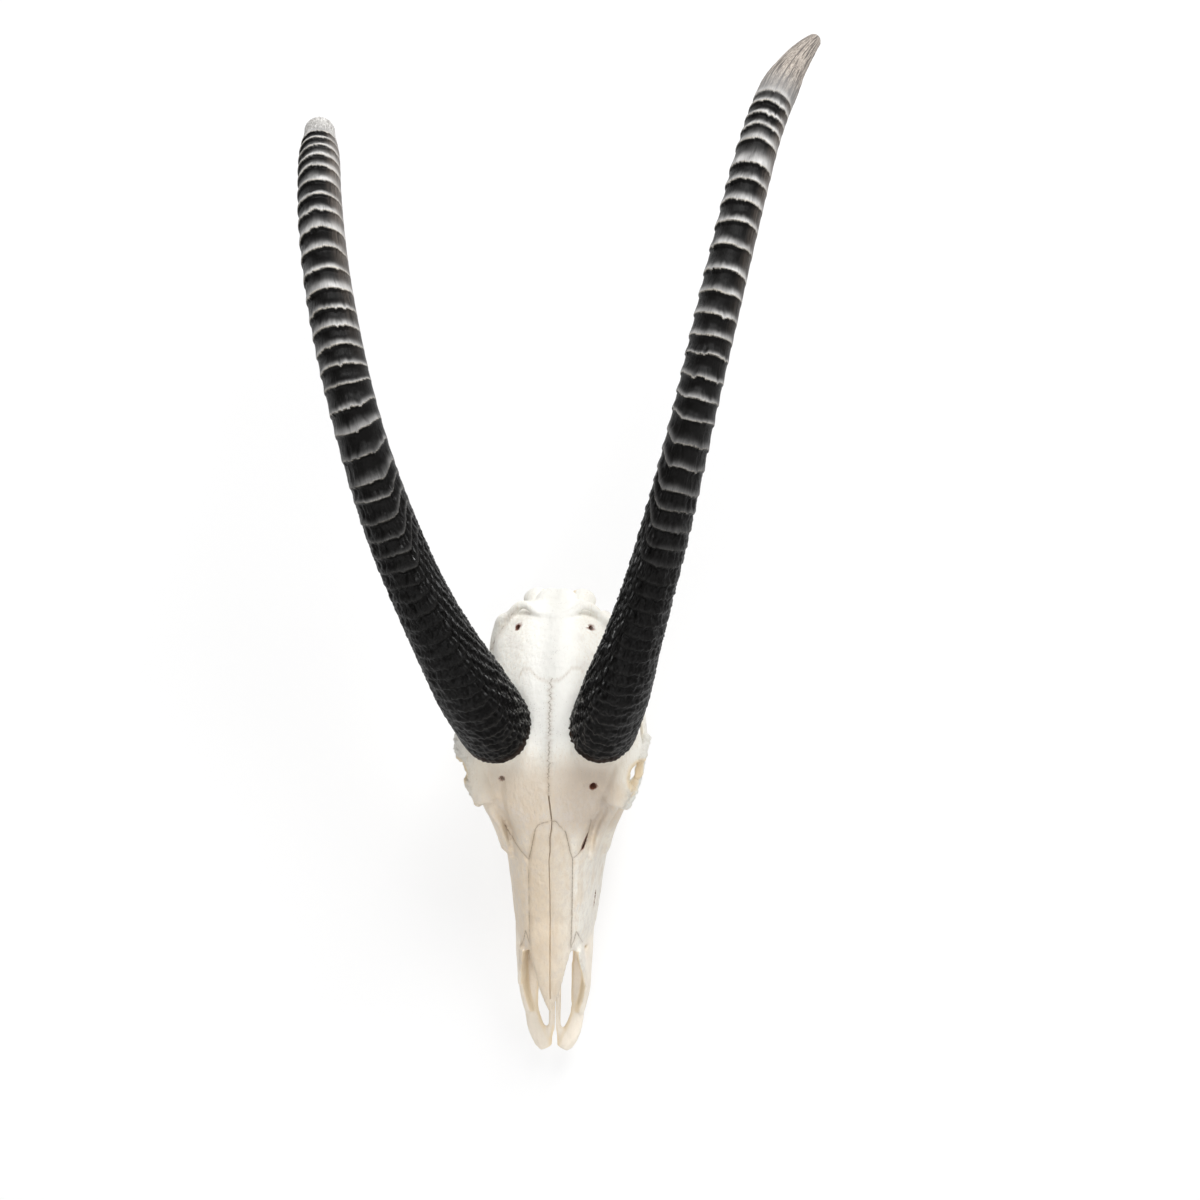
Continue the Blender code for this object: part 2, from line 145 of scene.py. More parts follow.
world = bpy.data.worlds.new("studio")
bpy.context.scene.world = world
world.use_nodes = True
sky = world.node_tree.nodes["Background"]
seen = world.node_tree.nodes.new("ShaderNodeLightPath").outputs["Is Camera Ray"]
level = world.node_tree.nodes.new("ShaderNodeMapRange")
level.inputs["To Min"].default_value = 0.22
level.inputs["To Max"].default_value = 0.97
world.node_tree.links.new(seen, level.inputs["Value"])
world.node_tree.links.new(level.outputs[0], sky.inputs["Strength"])
sky.inputs["Color"].default_value = (1, 1, 1, 1)
bpy.context.scene.view_settings.view_transform = "Standard"

# %% [markdown]
# Bone and horn have no flat faces and few round ones. Both are made as skins over a row of oval
# outlines, the way a boat is built on its ribs. Three helpers do that: one reads a smooth curve
# through a short table, one puts a closed skin over outlines, and one makes a curved bar.

# %% Smooth tables, skins and bars
def blend_table(rows, at):
    """Values at one place along rows whose first column is the place, on a smooth curve."""
    table = np.array(rows, float)
    where = table[:, 0]
    slope = np.gradient(table[:, 1:], where, axis=0)
    i = int(np.clip(np.searchsorted(where, at) - 1, 0, len(where) - 2))
    gap = where[i + 1] - where[i]
    t = (at - where[i]) / gap
    start, end = table[i, 1:], table[i + 1, 1:]
    return (start * (2 * t**3 - 3 * t**2 + 1) + end * (3 * t**2 - 2 * t**3)
            + gap * (slope[i] * (t**3 - 2 * t**2 + t) + slope[i + 1] * (t**3 - t**2)))


def smooth_rows(rows, per_step):
    """More rows between the given ones, on a smooth curve through them."""
    table = [(i, *row) for i, row in enumerate(rows)]
    count = (len(rows) - 1) * per_step
    return [blend_table(table, i / per_step) for i in range(count + 1)]


def skin(bm, rings, closed_path=False):
    """A skin over rings of points, capped at both ends unless the path is closed."""
    loops = [[bm.verts.new(place(*p)) for p in ring] for ring in rings]
    pairs = list(zip(loops, loops[1:])) + ([(loops[-1], loops[0])] if closed_path else [])
    count = len(loops[0])
    for near, far in pairs:
        for i in range(count):
            j = (i + 1) % count
            bm.faces.new((near[i], near[j], far[j], far[i]))
    if not closed_path:
        bm.faces.new(reversed(loops[0]))
        bm.faces.new(loops[-1])


def limb(bm, rows, side=1, sides=20, per_step=6):
    """A bar of oval section along a path; half width is sideways, half height is upright."""
    rows = [np.array(row) * (side, 1, 1, 1, 1) for row in smooth_rows(rows, per_step)]
    rings = []
    for i, row in enumerate(rows):
        ahead = Vector(rows[min(i + 1, len(rows) - 1)][:3] - rows[max(i - 1, 0)][:3]).normalized()
        across = ahead.cross(Vector((0, 0, 1)))
        across = Vector((1, 0, 0)) if across.length < 0.35 else across.normalized()
        upright = across.cross(ahead).normalized()
        centre = Vector(row[:3])
        rings.append([centre + across * row[3] * math.cos(a) + upright * row[4] * math.sin(a)
                      for a in np.linspace(0, 2 * math.pi, sides, endpoint=False)])
    skin(bm, rings)


def ring_bar(bm, points, thick, side=1, sides=14, per_step=6):
    """A closed ring of round section through the points."""
    wrapped = points[-2:] + points + points[:2]
    path = smooth_rows([(side * x, y, z) for x, y, z in wrapped], per_step)[2 * per_step:-per_step]
    path = [Vector(p) for p in path[:-1]]
    centre = sum(path, Vector()) / len(path)
    rings = []
    for i, point in enumerate(path):
        ahead = (path[(i + 1) % len(path)] - path[i - 1]).normalized()
        outward = point - centre
        outward = (outward - ahead * outward.dot(ahead)).normalized()
        sideways = ahead.cross(outward)
        rings.append([point + outward * thick * math.cos(a) + sideways * thick * math.sin(a)
                      for a in np.linspace(0, 2 * math.pi, sides, endpoint=False)])
    skin(bm, rings, closed_path=True)


def lump(bm, shape, side=1):
    """A round lump with three radii."""
    x, y, z, wide, long, tall = shape
    made = bmesh.ops.create_icosphere(bm, subdivisions=4, radius=MM)
    for vert in made["verts"]:
        vert.co = Vector((vert.co.x * wide, vert.co.y * long, vert.co.z * tall)) + place(side * x, y, z)


def new_object(name, bm):
    """A mesh object holding the shapes in bm, with its faces pointing out."""
    bmesh.ops.recalc_face_normals(bm, faces=bm.faces)
    mesh = bpy.data.meshes.new(name)
    bm.to_mesh(mesh)
    bm.free()
    obj = bpy.data.objects.new(name, mesh)
    bpy.context.scene.collection.objects.link(obj)
    return obj


def apply_modifier(obj, kind, **values):
    """Add a modifier, set it and apply it."""
    bpy.ops.object.select_all(action="DESELECT")
    bpy.context.view_layer.objects.active = obj
    obj.select_set(True)
    modifier = obj.modifiers.new(kind.lower(), kind)
    for key, value in values.items():
        setattr(modifier, key, value)
    bpy.ops.object.modifier_apply(modifier=modifier.name)


# %% [markdown]
# The skull's body is one long form: roof, side walls and floor from the nose to the nape. Its
# outline changes all the way, so it is written as a table of outlines, one row for each place
# where a real skull changes, such as the eye sockets or the nape.

# %% The long body of the skull
VAULT = [
    (102, 103, 17.5, 101, 26, 84, 31.5, 54, 29, 30, 26),
    (125, 109, 19, 106, 29, 90, 34.5, 60, 31, 27, 25),
    (160, 121, 20, 117, 31, 100, 38, 68, 37, 27, 25),
    (190, 132, 22, 127, 34, 107, 43, 72, 42, 28, 26),
    (215, 141, 28, 136, 40, 115, 49, 82, 44, 34, 28),
    (235, 148, 42, 140, 52, 124, 47, 92, 38, 46, 36),
    (255, 154, 53, 146, 58, 134, 36, 102, 27, 62, 47),
    (280, 160, 58, 150, 64, 138, 33, 106, 26, 62, 50),
    (300, 164, 58, 150, 62, 136, 38, 108, 29, 62, 50),
    (325, 161, 46, 149, 48, 128, 44, 100, 31, 60, 48),
    (350, 152, 42, 142, 50, 120, 50, 94, 34, 56, 45),
    (375, 138, 40, 128, 51, 110, 49, 86, 36, 56, 44),
    (392, 121, 32, 115, 44, 98, 42, 80, 30, 56, 45),
    (405, 100, 22, 96, 28, 84, 28, 70, 22, 54, 47),
]
VAULT_RIBS = 150
VAULT_SIDES = 96


def vault_ring(y):
    """The outline of the skull's body at one place, top first."""
    row = blend_table(VAULT, y)
    right = [(row[i], row[i + 1]) for i in (1, 3, 5, 7)]
    corners = [(0, row[0])] + right + [(0, row[-1])] + [(-x, z) for x, z in reversed(right)]
    wrapped = corners[-2:] + corners + corners[:3]
    curve = np.array(smooth_rows(wrapped, 10))[20:-20]
    spread = np.concatenate([[0], np.cumsum(np.linalg.norm(np.diff(curve, axis=0), axis=1))])
    places = np.linspace(0, spread[-1], VAULT_SIDES, endpoint=False)
    return [(np.interp(p, spread, curve[:, 0]), y, np.interp(p, spread, curve[:, 1])) for p in places]


# %% [markdown]
# Onto the body grow the thinner forms: the two forks that carried the lip, the nasal bones that
# end in a point over them, the bars that hold the teeth, the cheek arches, the crest at the nape
# and the points behind the ears. Each is a bar with a few named stations on one side, and it is
# mirrored to the other.

# %% Bars, plates and lumps of the skull
LIMBS = {
    "incisor_plate": [
        (23.5, 118, 28, 8, 3.5), (23.5, 90, 28, 8.5, 3.2), (23, 60, 28, 9, 3.2), (21, 36, 27, 6.5, 3.4),
        (17.5, 19, 25.5, 7.8, 4.2), (10.8, 6, 24.5, 8.9, 4.8), (7, -1.5, 24, 6, 4.4),
    ],
    "incisor_wall": [
        (31, 120, 46, 4.2, 20), (30.5, 95, 44, 4, 18), (29.5, 70, 38, 3.8, 12), (27.5, 50, 33, 3.8, 8),
        (23, 33, 29, 4, 5),
    ],
    "incisor_rim": [
        (24, 108, 84, 3.6, 15), (25, 97, 78, 3.6, 14), (27, 84, 63, 3.6, 13), (29, 68, 47, 3.6, 11),
    ],
    "palatine_rod": [(6, 4, 24, 4, 3.5), (3.2, 20, 25, 2.8, 3), (3.2, 45, 28, 2.6, 4), (3.5, 75, 31, 2.8, 6),
                     (4, 106, 33, 3, 8)],
    "alveolar_bar": [
        (27.5, 104, 34, 5, 9), (29, 124, 36, 8.5, 16), (32, 150, 36, 9, 16), (36, 185, 36, 10, 16),
        (39.5, 216, 38, 9.5, 18), (38, 238, 48, 7, 12),
    ],
    "cheek": [(41, 188, 58, 8, 12), (48, 210, 74, 7, 13), (59, 232, 87, 5.5, 12), (71, 249, 87, 5, 7)],
    "lacrimal": [
        (52, 246, 121, 9, 20), (51, 234, 115, 7, 24), (46.5, 222, 106, 5, 25), (41, 207, 97, 4.5, 24),
        (36, 190, 90, 4, 22),
    ],
    "brow": [(53, 236, 140, 10, 6), (62, 262, 147, 10, 5), (68, 284, 145, 10, 5), (64, 300, 139, 9, 6)],
    "arch": [
        (73, 253, 86, 3.8, 8), (77.5, 284, 84, 3.4, 8), (74, 314, 79, 3.2, 7),
        (64, 338, 73, 5, 7), (48, 352, 74, 8, 8), (40, 358, 76, 8, 8),
    ],
    "temporal_crest": [
        (48, 340, 104, 4, 6), (53, 362, 104, 4, 7), (48, 386, 112, 4, 6), (42, 392, 114, 4, 5),
    ],
    "ear_tube": [(34, 362, 66, 6, 6), (56, 370, 77, 6, 6)],
    "paracondylar": [(40, 386, 74, 8, 9), (40, 391, 48, 7, 7), (37, 391, 20, 5, 5), (35, 388, -5, 4, 4)],
    "pterygoid": [
        (18, 222, 44, 2.4, 14), (18, 250, 42, 2.2, 15), (16, 282, 46, 2.2, 12), (15, 306, 52, 3, 5),
    ],
}
CREST = [
    (-51, 372, 104, 5, 6), (-42, 389, 113, 4, 5), (-28, 402, 117, 4, 4), (-13, 395, 119, 4, 4),
    (0, 392, 120, 4, 4), (13, 395, 119, 4, 4), (28, 402, 117, 4, 4), (42, 389, 113, 4, 5),
    (51, 372, 104, 5, 6),
]
NASALS = [(0, 48, 91.5, 1.5, 1.6), (0, 57, 93.5, 5.5, 2.4), (0, 72, 97, 10.5, 3.2), (0, 86, 100, 14, 3.8),
          (0, 102, 102, 18, 4.5), (0, 118, 105, 19, 5), (0, 136, 106.5, 17, 5), (0, 156, 110, 14, 4)]
# A scroll of thin bone that shows in the left half of the nose
CONCHA = [(-15.5, 118, 78, 5, 12), (-14.5, 95, 72, 5, 10), (-12.8, 76, 62, 3.8, 7), (-11, 63, 54, 2.2, 4)]
PALATE_FRONT = [(0, 94, 28, 20, 3), (0, 104, 28, 27, 3.3), (0, 120, 28, 29, 3.5)]
LUMPS = {
    "condyle": (20, 406.5, 57, 12.5, 10.5, 14.5),
    "nape_rim": (5, 403, 88, 15, 14, 9),
    "bulla": (30, 358, 42, 9, 15, 15),
    "jaw_joint": (54, 336, 67, 15, 12, 6),
}
RIM = [(65, 232, 104), (62, 235, 124), (66, 246, 140), (73, 264, 146), (78, 281, 141), (80, 289, 121),
       (79, 286, 98), (77, 272, 86), (72, 250, 86)]
RIM_THICK = 4.0

# %% [markdown]
# The hollows are made the same way and then cut out: the nose, the throat behind the palate, the
# braincase with its opening at the nape, the eye sockets, and the notch worn into each brow.

# %% The hollows
NOSE = [(0, 60, 65, 22, 28), (0, 95, 66, 23, 31), (0, 130, 69, 25, 35), (0, 165, 74, 28, 40),
        (0, 195, 80, 30, 43), (0, 222, 84, 24, 38), (0, 240, 84, 12, 22)]
CHOANA = [(0, 205, 62, 14, 14), (0, 232, 48, 14.5, 20), (0, 256, 30, 14, 20), (0, 272, 14, 13, 20)]
SPINAL = [(0, 358, 90, 14, 14), (0, 392, 69, 13, 12), (0, 430, 60, 13, 12)]
BRAIN = (0, 342, 104, 36, 46, 35)
SOCKET = [(22, 276, 110, 11, 11), (38, 271, 112, 20, 20), (55, 266, 113, 25, 25), (72, 261, 115, 25.5, 25.5),
          (98, 254, 117, 27, 27)]
# Where the brow has crumbled away over each eye socket, left and right
BROW_NOTCH = {-1: (83, 259, 152, 13, 14, 24), 1: (79.5, 258, 152, 13, 16, 24)}


def build_hollows():
    """Nose, throat, braincase, eye sockets and the worn brows as one cutter."""
    bm = bmesh.new()
    for rows in (NOSE, CHOANA, SPINAL):
        limb(bm, rows)
    lump(bm, BRAIN)
    for side in (-1, 1):
        limb(bm, SOCKET, side)
        lump(bm, BROW_NOTCH[side], side)
    return new_object("hollows", bm)


# %% [markdown]
# Each horn follows a curve in space that no single plane holds. It is written as the direction
# of the sheath, its rise above level and its splay from the midline, at six even steps from base
# to tip. Adding up millimetre after millimetre in that direction gives the middle line.

# %% The horns' middle lines
SEAT = (45, 303, 161)
SEAT_TILT = 68
SEAT_BLEND = 80
SEAT_ROOM = 1.0
SEAT_CUT_PLACES = (0, 10, 20, 30, 40)
PART_GAP = 0.3
PEDICLE_RADII = (26, 30)
PEDICLE_HEIGHTS = (-34, -12, 8)
HORNS = {
    "horn_left": {"side": -1, "length": 656, "end": 627, "dome": 12, "thick": 1.04,
                  "rise": (50, 31, 9, -20, -43, -56), "splay": (27.5, 23.5, 17, 14, 13, 18)},
    "horn_right": {"side": 1, "length": 664, "end": 662, "dome": 7, "thick": 0.96,
                   "rise": (49, 28, 7, -11, -27, -40), "splay": (20, 16.5, 12.5, 12, 16, 38)},
}
HORN_RADII = [(0, 30, 32), (0.08, 28.6, 31.5), (0.15, 24.6, 28.5), (0.22, 21.8, 26), (0.3, 20.2, 24),
              (0.42, 18, 21.5), (0.6, 17.4, 19.5), (0.78, 16.6, 17.8), (0.875, 15.2, 15.6),
              (0.92, 11.5, 11.5), (0.97, 8, 8), (1.0, 5, 5)]
# Distance from the base and extra radius there, where a tip is worn blunt
TIP_SWELL = {
    "horn_left": [(560, 0), (600, 0.8), (616, 2.2), (630, 3.4), (656, 4)],
    "horn_right": [(560, 0), (586, 0.9), (618, 0.9), (650, 0), (664, 0)],
}


def lean(side, splay, rise):
    """A direction from its rise above level and its splay away from the midline."""
    splay, rise = math.radians(side * splay), math.radians(rise)
    return Vector((math.cos(rise) * math.sin(splay), math.cos(rise) * math.cos(splay), math.sin(rise)))


def seat_of(horn):
    """The middle of a horn's seat and the direction that its plane faces."""
    seat = Vector((horn["side"] * SEAT[0], SEAT[1], SEAT[2]))
    return seat, lean(horn["side"], horn["splay"][0], SEAT_TILT)


def horn_path(horn):
    """Points one millimetre apart along the middle of the sheath, with the direction at each."""
    seat, facing = seat_of(horn)
    steps = len(horn["rise"]) - 1
    rows = [(i / steps, horn["splay"][i], horn["rise"][i]) for i in range(steps + 1)]
    point = seat + facing * PART_GAP
    path = []
    for s in range(horn["length"] + 1):
        direction = lean(horn["side"], *blend_table(rows, s / horn["length"]))
        path.append((point.copy(), direction))
        point += direction
    return path


def radii_of(name, s):
    """Half width and half depth of a sheath over its ring crests, at distance s."""
    horn = HORNS[name]
    places, extra = zip(*TIP_SWELL[name])
    return blend_table(HORN_RADII, s / horn["length"]) * horn["thick"] + np.interp(s, places, extra)


for name, horn in HORNS.items():
    print(name, "runs to", [round(v) for v in horn_path(horn)[horn["end"]][0]])

# %% [markdown]
# On a real skull the bones meet in one smooth surface. So all the solid forms are thrown
# together, and a voxel remesh fuses them into one skin, which is smoothed after the hollows are
# cut. Fine voxels keep thin edges, and a decimation takes out the triangles that flat bone
# doesn't need. A cutter for each horn's seat leaves it the room that it needs.

# %% Fuse and hollow the bone
VOXEL = 1.25
BONE_TRIANGLES = 150000


def build_forms():
    """All the bony forms as overlapping solids."""
    bm = bmesh.new()
    skin(bm, [vault_ring(y) for y in np.linspace(VAULT[0][0], VAULT[-1][0], VAULT_RIBS)])
    for rows in (NASALS, PALATE_FRONT, CREST, CONCHA):
        limb(bm, rows)
    for side in (-1, 1):
        for rows in LIMBS.values():
            limb(bm, rows, side)
        for shape in LUMPS.values():
            lump(bm, shape, side)
        ring_bar(bm, RIM, RIM_THICK, side)
    for horn in HORNS.values():
        seat, facing = seat_of(horn)
        limb(bm, [(*(seat + facing * h), *PEDICLE_RADII) for h in PEDICLE_HEIGHTS])
    return new_object("skull_bone", bm)


bone = build_forms()
hollows = build_hollows()
for obj in (bone, hollows):
    apply_modifier(obj, "REMESH", mode="VOXEL", voxel_size=VOXEL * MM)
apply_modifier(bone, "BOOLEAN", operation="DIFFERENCE", object=hollows, solver="EXACT")
apply_modifier(bone, "REMESH", mode="VOXEL", voxel_size=VOXEL * MM, use_smooth_shade=True)
apply_modifier(bone, "SMOOTH", factor=0.5, iterations=8)
print("bone has", len(bone.data.polygons), "faces before thinning")

# %% [markdown]
# Bone keeps small marks that a smooth form lacks: shallow grooves where nerves and vessels ran, the
# worn low bumps of old bone, and the crumbling rim of the eye sockets. They are wider than the
# voxels, so they are pushed into the dense mesh along its own directions, before it is thinned.

# %% Grooves, low bumps and ragged rims
GROOVES = [
    # depth, half width, then the line in x and y
    (1.5, 3.2, [(-39.5, 255), (-41, 245), (-40, 232), (-36, 216), (-31, 203)]),
    (1.2, 3.0, [(37, 250), (40, 243), (44, 236)]),
    (1.1, 2.6, [(-36, 207), (-28, 196), (-18.5, 186)]),
    (0.9, 2.2, [(33, 211), (28, 197), (19.5, 187)]),
    (0.7, 4.0, [(0, 252), (1, 236), (2, 222)]),
    (0.7, 2.2, [(0.3, 50), (0.2, 150), (0.8, 198)]),
    (0.8, 1.6, [(18, 98), (19, 150), (19.4, 186), (15, 207)]),
    (0.55, 1.6, [(-17.3, 102), (-18.2, 150), (-17.8, 186), (-13.8, 205)]),
]


def smoothstep(low, high, value):
    """0 below low, 1 above high, and a smooth step between."""
    t = np.clip((value - low) / (high - low), 0, 1)
    return t * t * (3 - 2 * t)


def distance_to_line(points, line):
    """The shortest distance from many points to a line through a few."""
    line = np.array(line, float)
    nearest = np.full(len(points), np.inf)
    for a, b in zip(line, line[1:]):
        span = b - a
        t = np.clip((points - a) @ span / (span @ span), 0, 1)
        nearest = np.minimum(nearest, np.linalg.norm(points - (a + t[:, None] * span), axis=1))
    return nearest


def noise_at(points, size, shift=0.0):
    """Smooth noise from -1 to 1 at many points, with features of the size."""
    scaled = points / size + shift
    return np.array([noise.noise(Vector(p)) for p in scaled])


def read_mesh(obj):
    """The points of a mesh on the skull's ruler, and its directions out."""
    count = len(obj.data.vertices)
    points, normals = np.empty(count * 3, np.float32), np.empty(count * 3, np.float32)
    obj.data.vertices.foreach_get("co", points)
    obj.data.vertices.foreach_get("normal", normals)
    return (points.reshape(-1, 3) - np.array(ORIGIN)) / MM, normals.reshape(-1, 3)


def write_mesh(obj, points):
    """Put points of the skull's ruler back into a mesh."""
    obj.data.vertices.foreach_set("co", (points * MM + np.array(ORIGIN)).astype(np.float32).ravel())
    obj.data.update()


def rim_distance(points):
    """How far each point is from the nearer rim of the eye sockets."""
    one_side = np.column_stack([np.abs(points[:, 0]), points[:, 1:]])
    return distance_to_line(one_side, smooth_rows(RIM + RIM[:1], 3))


points, normals = read_mesh(bone)
upwards = np.clip(normals[:, 2] * 2, 0, 1)
push = 0.45 * noise_at(points, 17) + 0.16 * noise_at(points, 5, 7.3)
for depth, half_width, line in GROOVES:
    push -= depth * upwards * np.exp(-(distance_to_line(points[:, :2], line) / half_width) ** 2)
near_rim = np.exp(-(rim_distance(points) / 5.5) ** 2)
push += near_rim * (2.2 * noise_at(points, 3.4, 2.1) + 1.0 * noise_at(points, 8, 4.4))
brow_rim = near_rim * smoothstep(112, 130, points[:, 2])
push -= brow_rim * 4.5 * np.clip(noise_at(points, 2.9, 5.7), 0, 1)
crumbly = np.exp(-(points[:, 0] / 15) ** 2) * smoothstep(258, 278, points[:, 1]) * upwards
push += 0.6 * crumbly * noise_at(points, 3.6, 8.8)
write_mesh(bone, points + normals * push[:, None])
apply_modifier(bone, "DECIMATE", ratio=min(1, BONE_TRIANGLES / (2 * len(bone.data.polygons))))
print("bone has", len(bone.data.polygons), "triangles")

# %% [markdown]
# Some marks are narrower than a voxel and have sharp edges: the open slit on the midline, the
# fissure beside the right nasal bone, the holes for nerves and vessels, the cleft between the tips
# of the muzzle and the notch between the points of the nasal bones. The horns' seats and the tooth
# sockets are sharp too. Each is a cutter, taken out after the thinning, so that its edges stay
# crisp.

# %% Sharp cutters
MIDLINE = [(341, 0.6), (290, 0.3), (243.5, -0.2), (232, 1.0), (220, 2.4), (212, 1.8), (203, 0.6),
           (195, 0.8), (185, -0.3), (150, 0.2), (78, 0.3), (46, 0.3)]
FORAMINA = [
    # middle, direction in, radius, length, and stretch along the muzzle
    ((37, 251, 149), (-0.1, 0.5, -1), 3.0, 16, 1.1),
    ((-39.5, 256.5, 149), (0.2, 1, -0.9), 2.0, 14, 1.0),
    ((-30.5, 382.5, 125), (0.3, -0.4, -1), 1.9, 9, 1.4),
    ((31.5, 383.5, 125), (-0.3, -0.4, -1), 1.8, 9, 1.3),
    ((36.4, 144, 66), (-1, 0.4, -0.1), 3.6, 12, 1.5),
    ((-36.4, 144, 66), (1, 0.4, -0.1), 3.6, 12, 1.5),
]
FISSURE = [((27.4, 195), 0.8), ((28.6, 198.5), 1.05), ((30.2, 203), 0.7), ((32.2, 209), 0.3)]
# Where each groove on the midline starts and ends, its points, half width and depth
MIDLINE_CUTS = [(243, 222, 12, 0.75, 3.5), (221, 60, 58, 0.45, 1.6)]
# Place along the muzzle and half width of the cleft between its tips
CLEFT = [(-10, 2.6), (2, 2.1), (11, 1.7), (16, 0.8), (24, 0.55), (58, 0.5)]
NASAL_NOTCH = [(40, 1.6), (48, 0.9), (56, 0.3)]
CLEFT_X = 0.6


def horn_ring(horn, path, s, angles, wide, deep):
    """The outline of the sheath at distance s; the lowest ones turn to lie along the seat."""
    facing = seat_of(horn)[1]
    i = min(int(s), len(path) - 2)
    centre = path[i][0].lerp(path[i + 1][0], s - i)
    ahead = path[i][1].lerp(path[i + 1][1], s - i).normalized()
    t = min(s / SEAT_BLEND, 1)
    normal = facing.lerp(ahead, t * t * (3 - 2 * t)).normalized()
    level = ahead.cross(Vector((0, 0, 1))).normalized()
    across = (level - normal * level.dot(normal)).normalized()
    upright = across.cross(normal).normalized()
    stretch = 1 / upright.dot(level.cross(ahead).normalized())
    return [centre + across * w * math.cos(a) + upright * d * stretch * math.sin(a)
            for a, w, d in zip(angles, wide, deep)]


def seat_ring(name, s, grow=0.0, sides=64):
    """The sheath's plain outline at distance s, grown by a little."""
    wide, deep = (np.full(sides, radius) for radius in radii_of(name, s) + grow)
    angles = np.linspace(0, 2 * math.pi, sides, endpoint=False)
    return horn_ring(HORNS[name], horn_path(HORNS[name]), s, angles, wide, deep)


def seat_cutter(bm, name):
    """The room that a sheath takes above its seat on the bone."""
    rings = [seat_ring(name, s, SEAT_ROOM) for s in SEAT_CUT_PLACES]
    rings[0] = [p - seat_of(HORNS[name])[1] * PART_GAP for p in rings[0]]
    skin(bm, rings)


def spike(bm, middle, inwards, radius, length, stretch):
    """A blunt round spike that opens a hole in the bone, wider along the muzzle if stretched."""
    inwards = Vector(inwards).normalized()
    across = inwards.cross(Vector((0, 1, 0))).normalized()
    along = across.cross(inwards)
    rings = []
    for depth, share in ((-6, 1.5), (0, 1.0), (length * 0.6, 0.75), (length, 0.3)):
        rings.append([Vector(middle) + inwards * depth + across * radius * share * math.cos(a)
                      + along * radius * share * stretch * math.sin(a)
                      for a in np.linspace(0, 2 * math.pi, 18, endpoint=False)])
    skin(bm, rings)


def roof_height(surface, x, y):
    """Height of the bone's upper surface over one place."""
    hit = surface.ray_cast(place(x, y, 260), Vector((0, 0, -1)))[0]
    return (hit.z - ORIGIN.z) / MM


def trench(bm, surface, line, half_width, depth):
    """A sharp groove of v section that follows the bone's upper surface."""
    rings = []
    for x, y in line:
        top = roof_height(surface, x, y)
        rings.append([(x - half_width, y, top + 1.2), (x + half_width, y, top + 1.2),
                      (x + half_width, y, top - 0.1), (x, y, top - depth), (x - half_width, y, top - 0.1)])
    skin(bm, rings)


def midline_x(y):
    """Where the midline's seam runs at one place."""
    rows = MIDLINE[::-1]
    return float(np.interp(y, [r[0] for r in rows], [r[1] for r in rows]))


def cut_sharp(obj, name, fill):
    """Build a cutter with fill(bm) and take it out of the object."""
    bm = bmesh.new()
    fill(bm)
    cutter = new_object(name, bm)
    apply_modifier(obj, "BOOLEAN", operation="DIFFERENCE", object=cutter, solver="MANIFOLD")
    obj.data.materials.clear()
    bpy.data.objects.remove(cutter)


surface = BVHTree.FromObject(bone, bpy.context.evaluated_depsgraph_get())


def fill_seams(bm):
    """The slit on the midline and the seam between the nasal bones."""
    for start, end, count, half_width, depth in MIDLINE_CUTS:
        line = [(midline_x(y), y) for y in np.linspace(start, end, count)]
        trench(bm, surface, line, half_width, depth)


def fill_cleft(bm):
    """The cleft of the muzzle, and the notch between the points of the nasal bones."""
    for rows, low, high in ((CLEFT, -5, 50), (NASAL_NOTCH, 80, 110)):
        rings = []
        for y, half_width in rows:
            left, right = CLEFT_X - half_width, CLEFT_X + half_width
            rings.append([(left, y, low), (right, y, low), (right, y, high), (left, y, high)])
        skin(bm, rings)


def fill_holes(bm):
    """The holes for nerves and vessels, and the open fissure beside the right nasal bone."""
    for hole in FORAMINA:
        spike(bm, *hole)
    rings = []
    for (x, y), half_width in FISSURE:
        top = roof_height(surface, x, y)
        rings.append([(x - half_width, y, top + 3), (x + half_width, y, top + 3),
                      (x + half_width * 0.6, y, top - 9), (x - half_width * 0.6, y, top - 9)])
    skin(bm, rings)


cut_sharp(bone, "seam_cutter", fill_seams)
cut_sharp(bone, "cleft_cutter", fill_cleft)
cut_sharp(bone, "hole_cutter", fill_holes)
for name in HORNS:
    cut_sharp(bone, "seat_cutter", lambda bm: seat_cutter(bm, name))
print("bone has", len(bone.data.polygons), "faces after the sharp cuts")

# %% [markdown]
# An antelope chews with tall ridged crowns. Each upper tooth has ribs on the cheek side, rounded
# lobes on the tongue side and, on the worn face, a narrow crescent pit in every lobe. A cylinder is
# drawn into that outline, its chewing face is inset for the enamel rim and sunk a little for the
# softer dentine, and narrow crescents are cut into it.

# %% Cheek teeth
TEETH = {"premolar_2": (12, 11, 1), "premolar_3": (14, 13, 1), "premolar_4": (14, 14, 1),
         "molar_1": (17, 16, 2), "molar_2": (20, 17, 2), "molar_3": (20, 16, 2)}
TOOTH_ROW_START = 124
TOOTH_ROW_X = [(120, 28.5), (150, 31.5), (185, 36), (228, 39.5)]
TOOTH_GAP = 0.8
TOOTH_TOP = 31
SOCKET_START = 12
CROWN_SIDES = 64
ENAMEL_RIM = 1.1


def crown_outline(angle, length, width, lobes):
    """A point of a crown's outline, cheek side towards +x."""
    x, y = math.cos(angle), math.sin(angle)
    squared = max(abs(x), abs(y)) ** 0.6
    x, y = x / squared, y / squared
    along = y * lobes * math.pi / 2
    if x > 0:
        x *= 0.9 + 0.07 * math.cos(2 * along + (0 if lobes == 2 else math.pi)) ** 3
    else:
        x *= 0.84 + 0.13 * abs(math.sin(along)) if lobes == 2 else 0.97
    return x * width / 2 * 0.97, y * length / 2 * 0.985


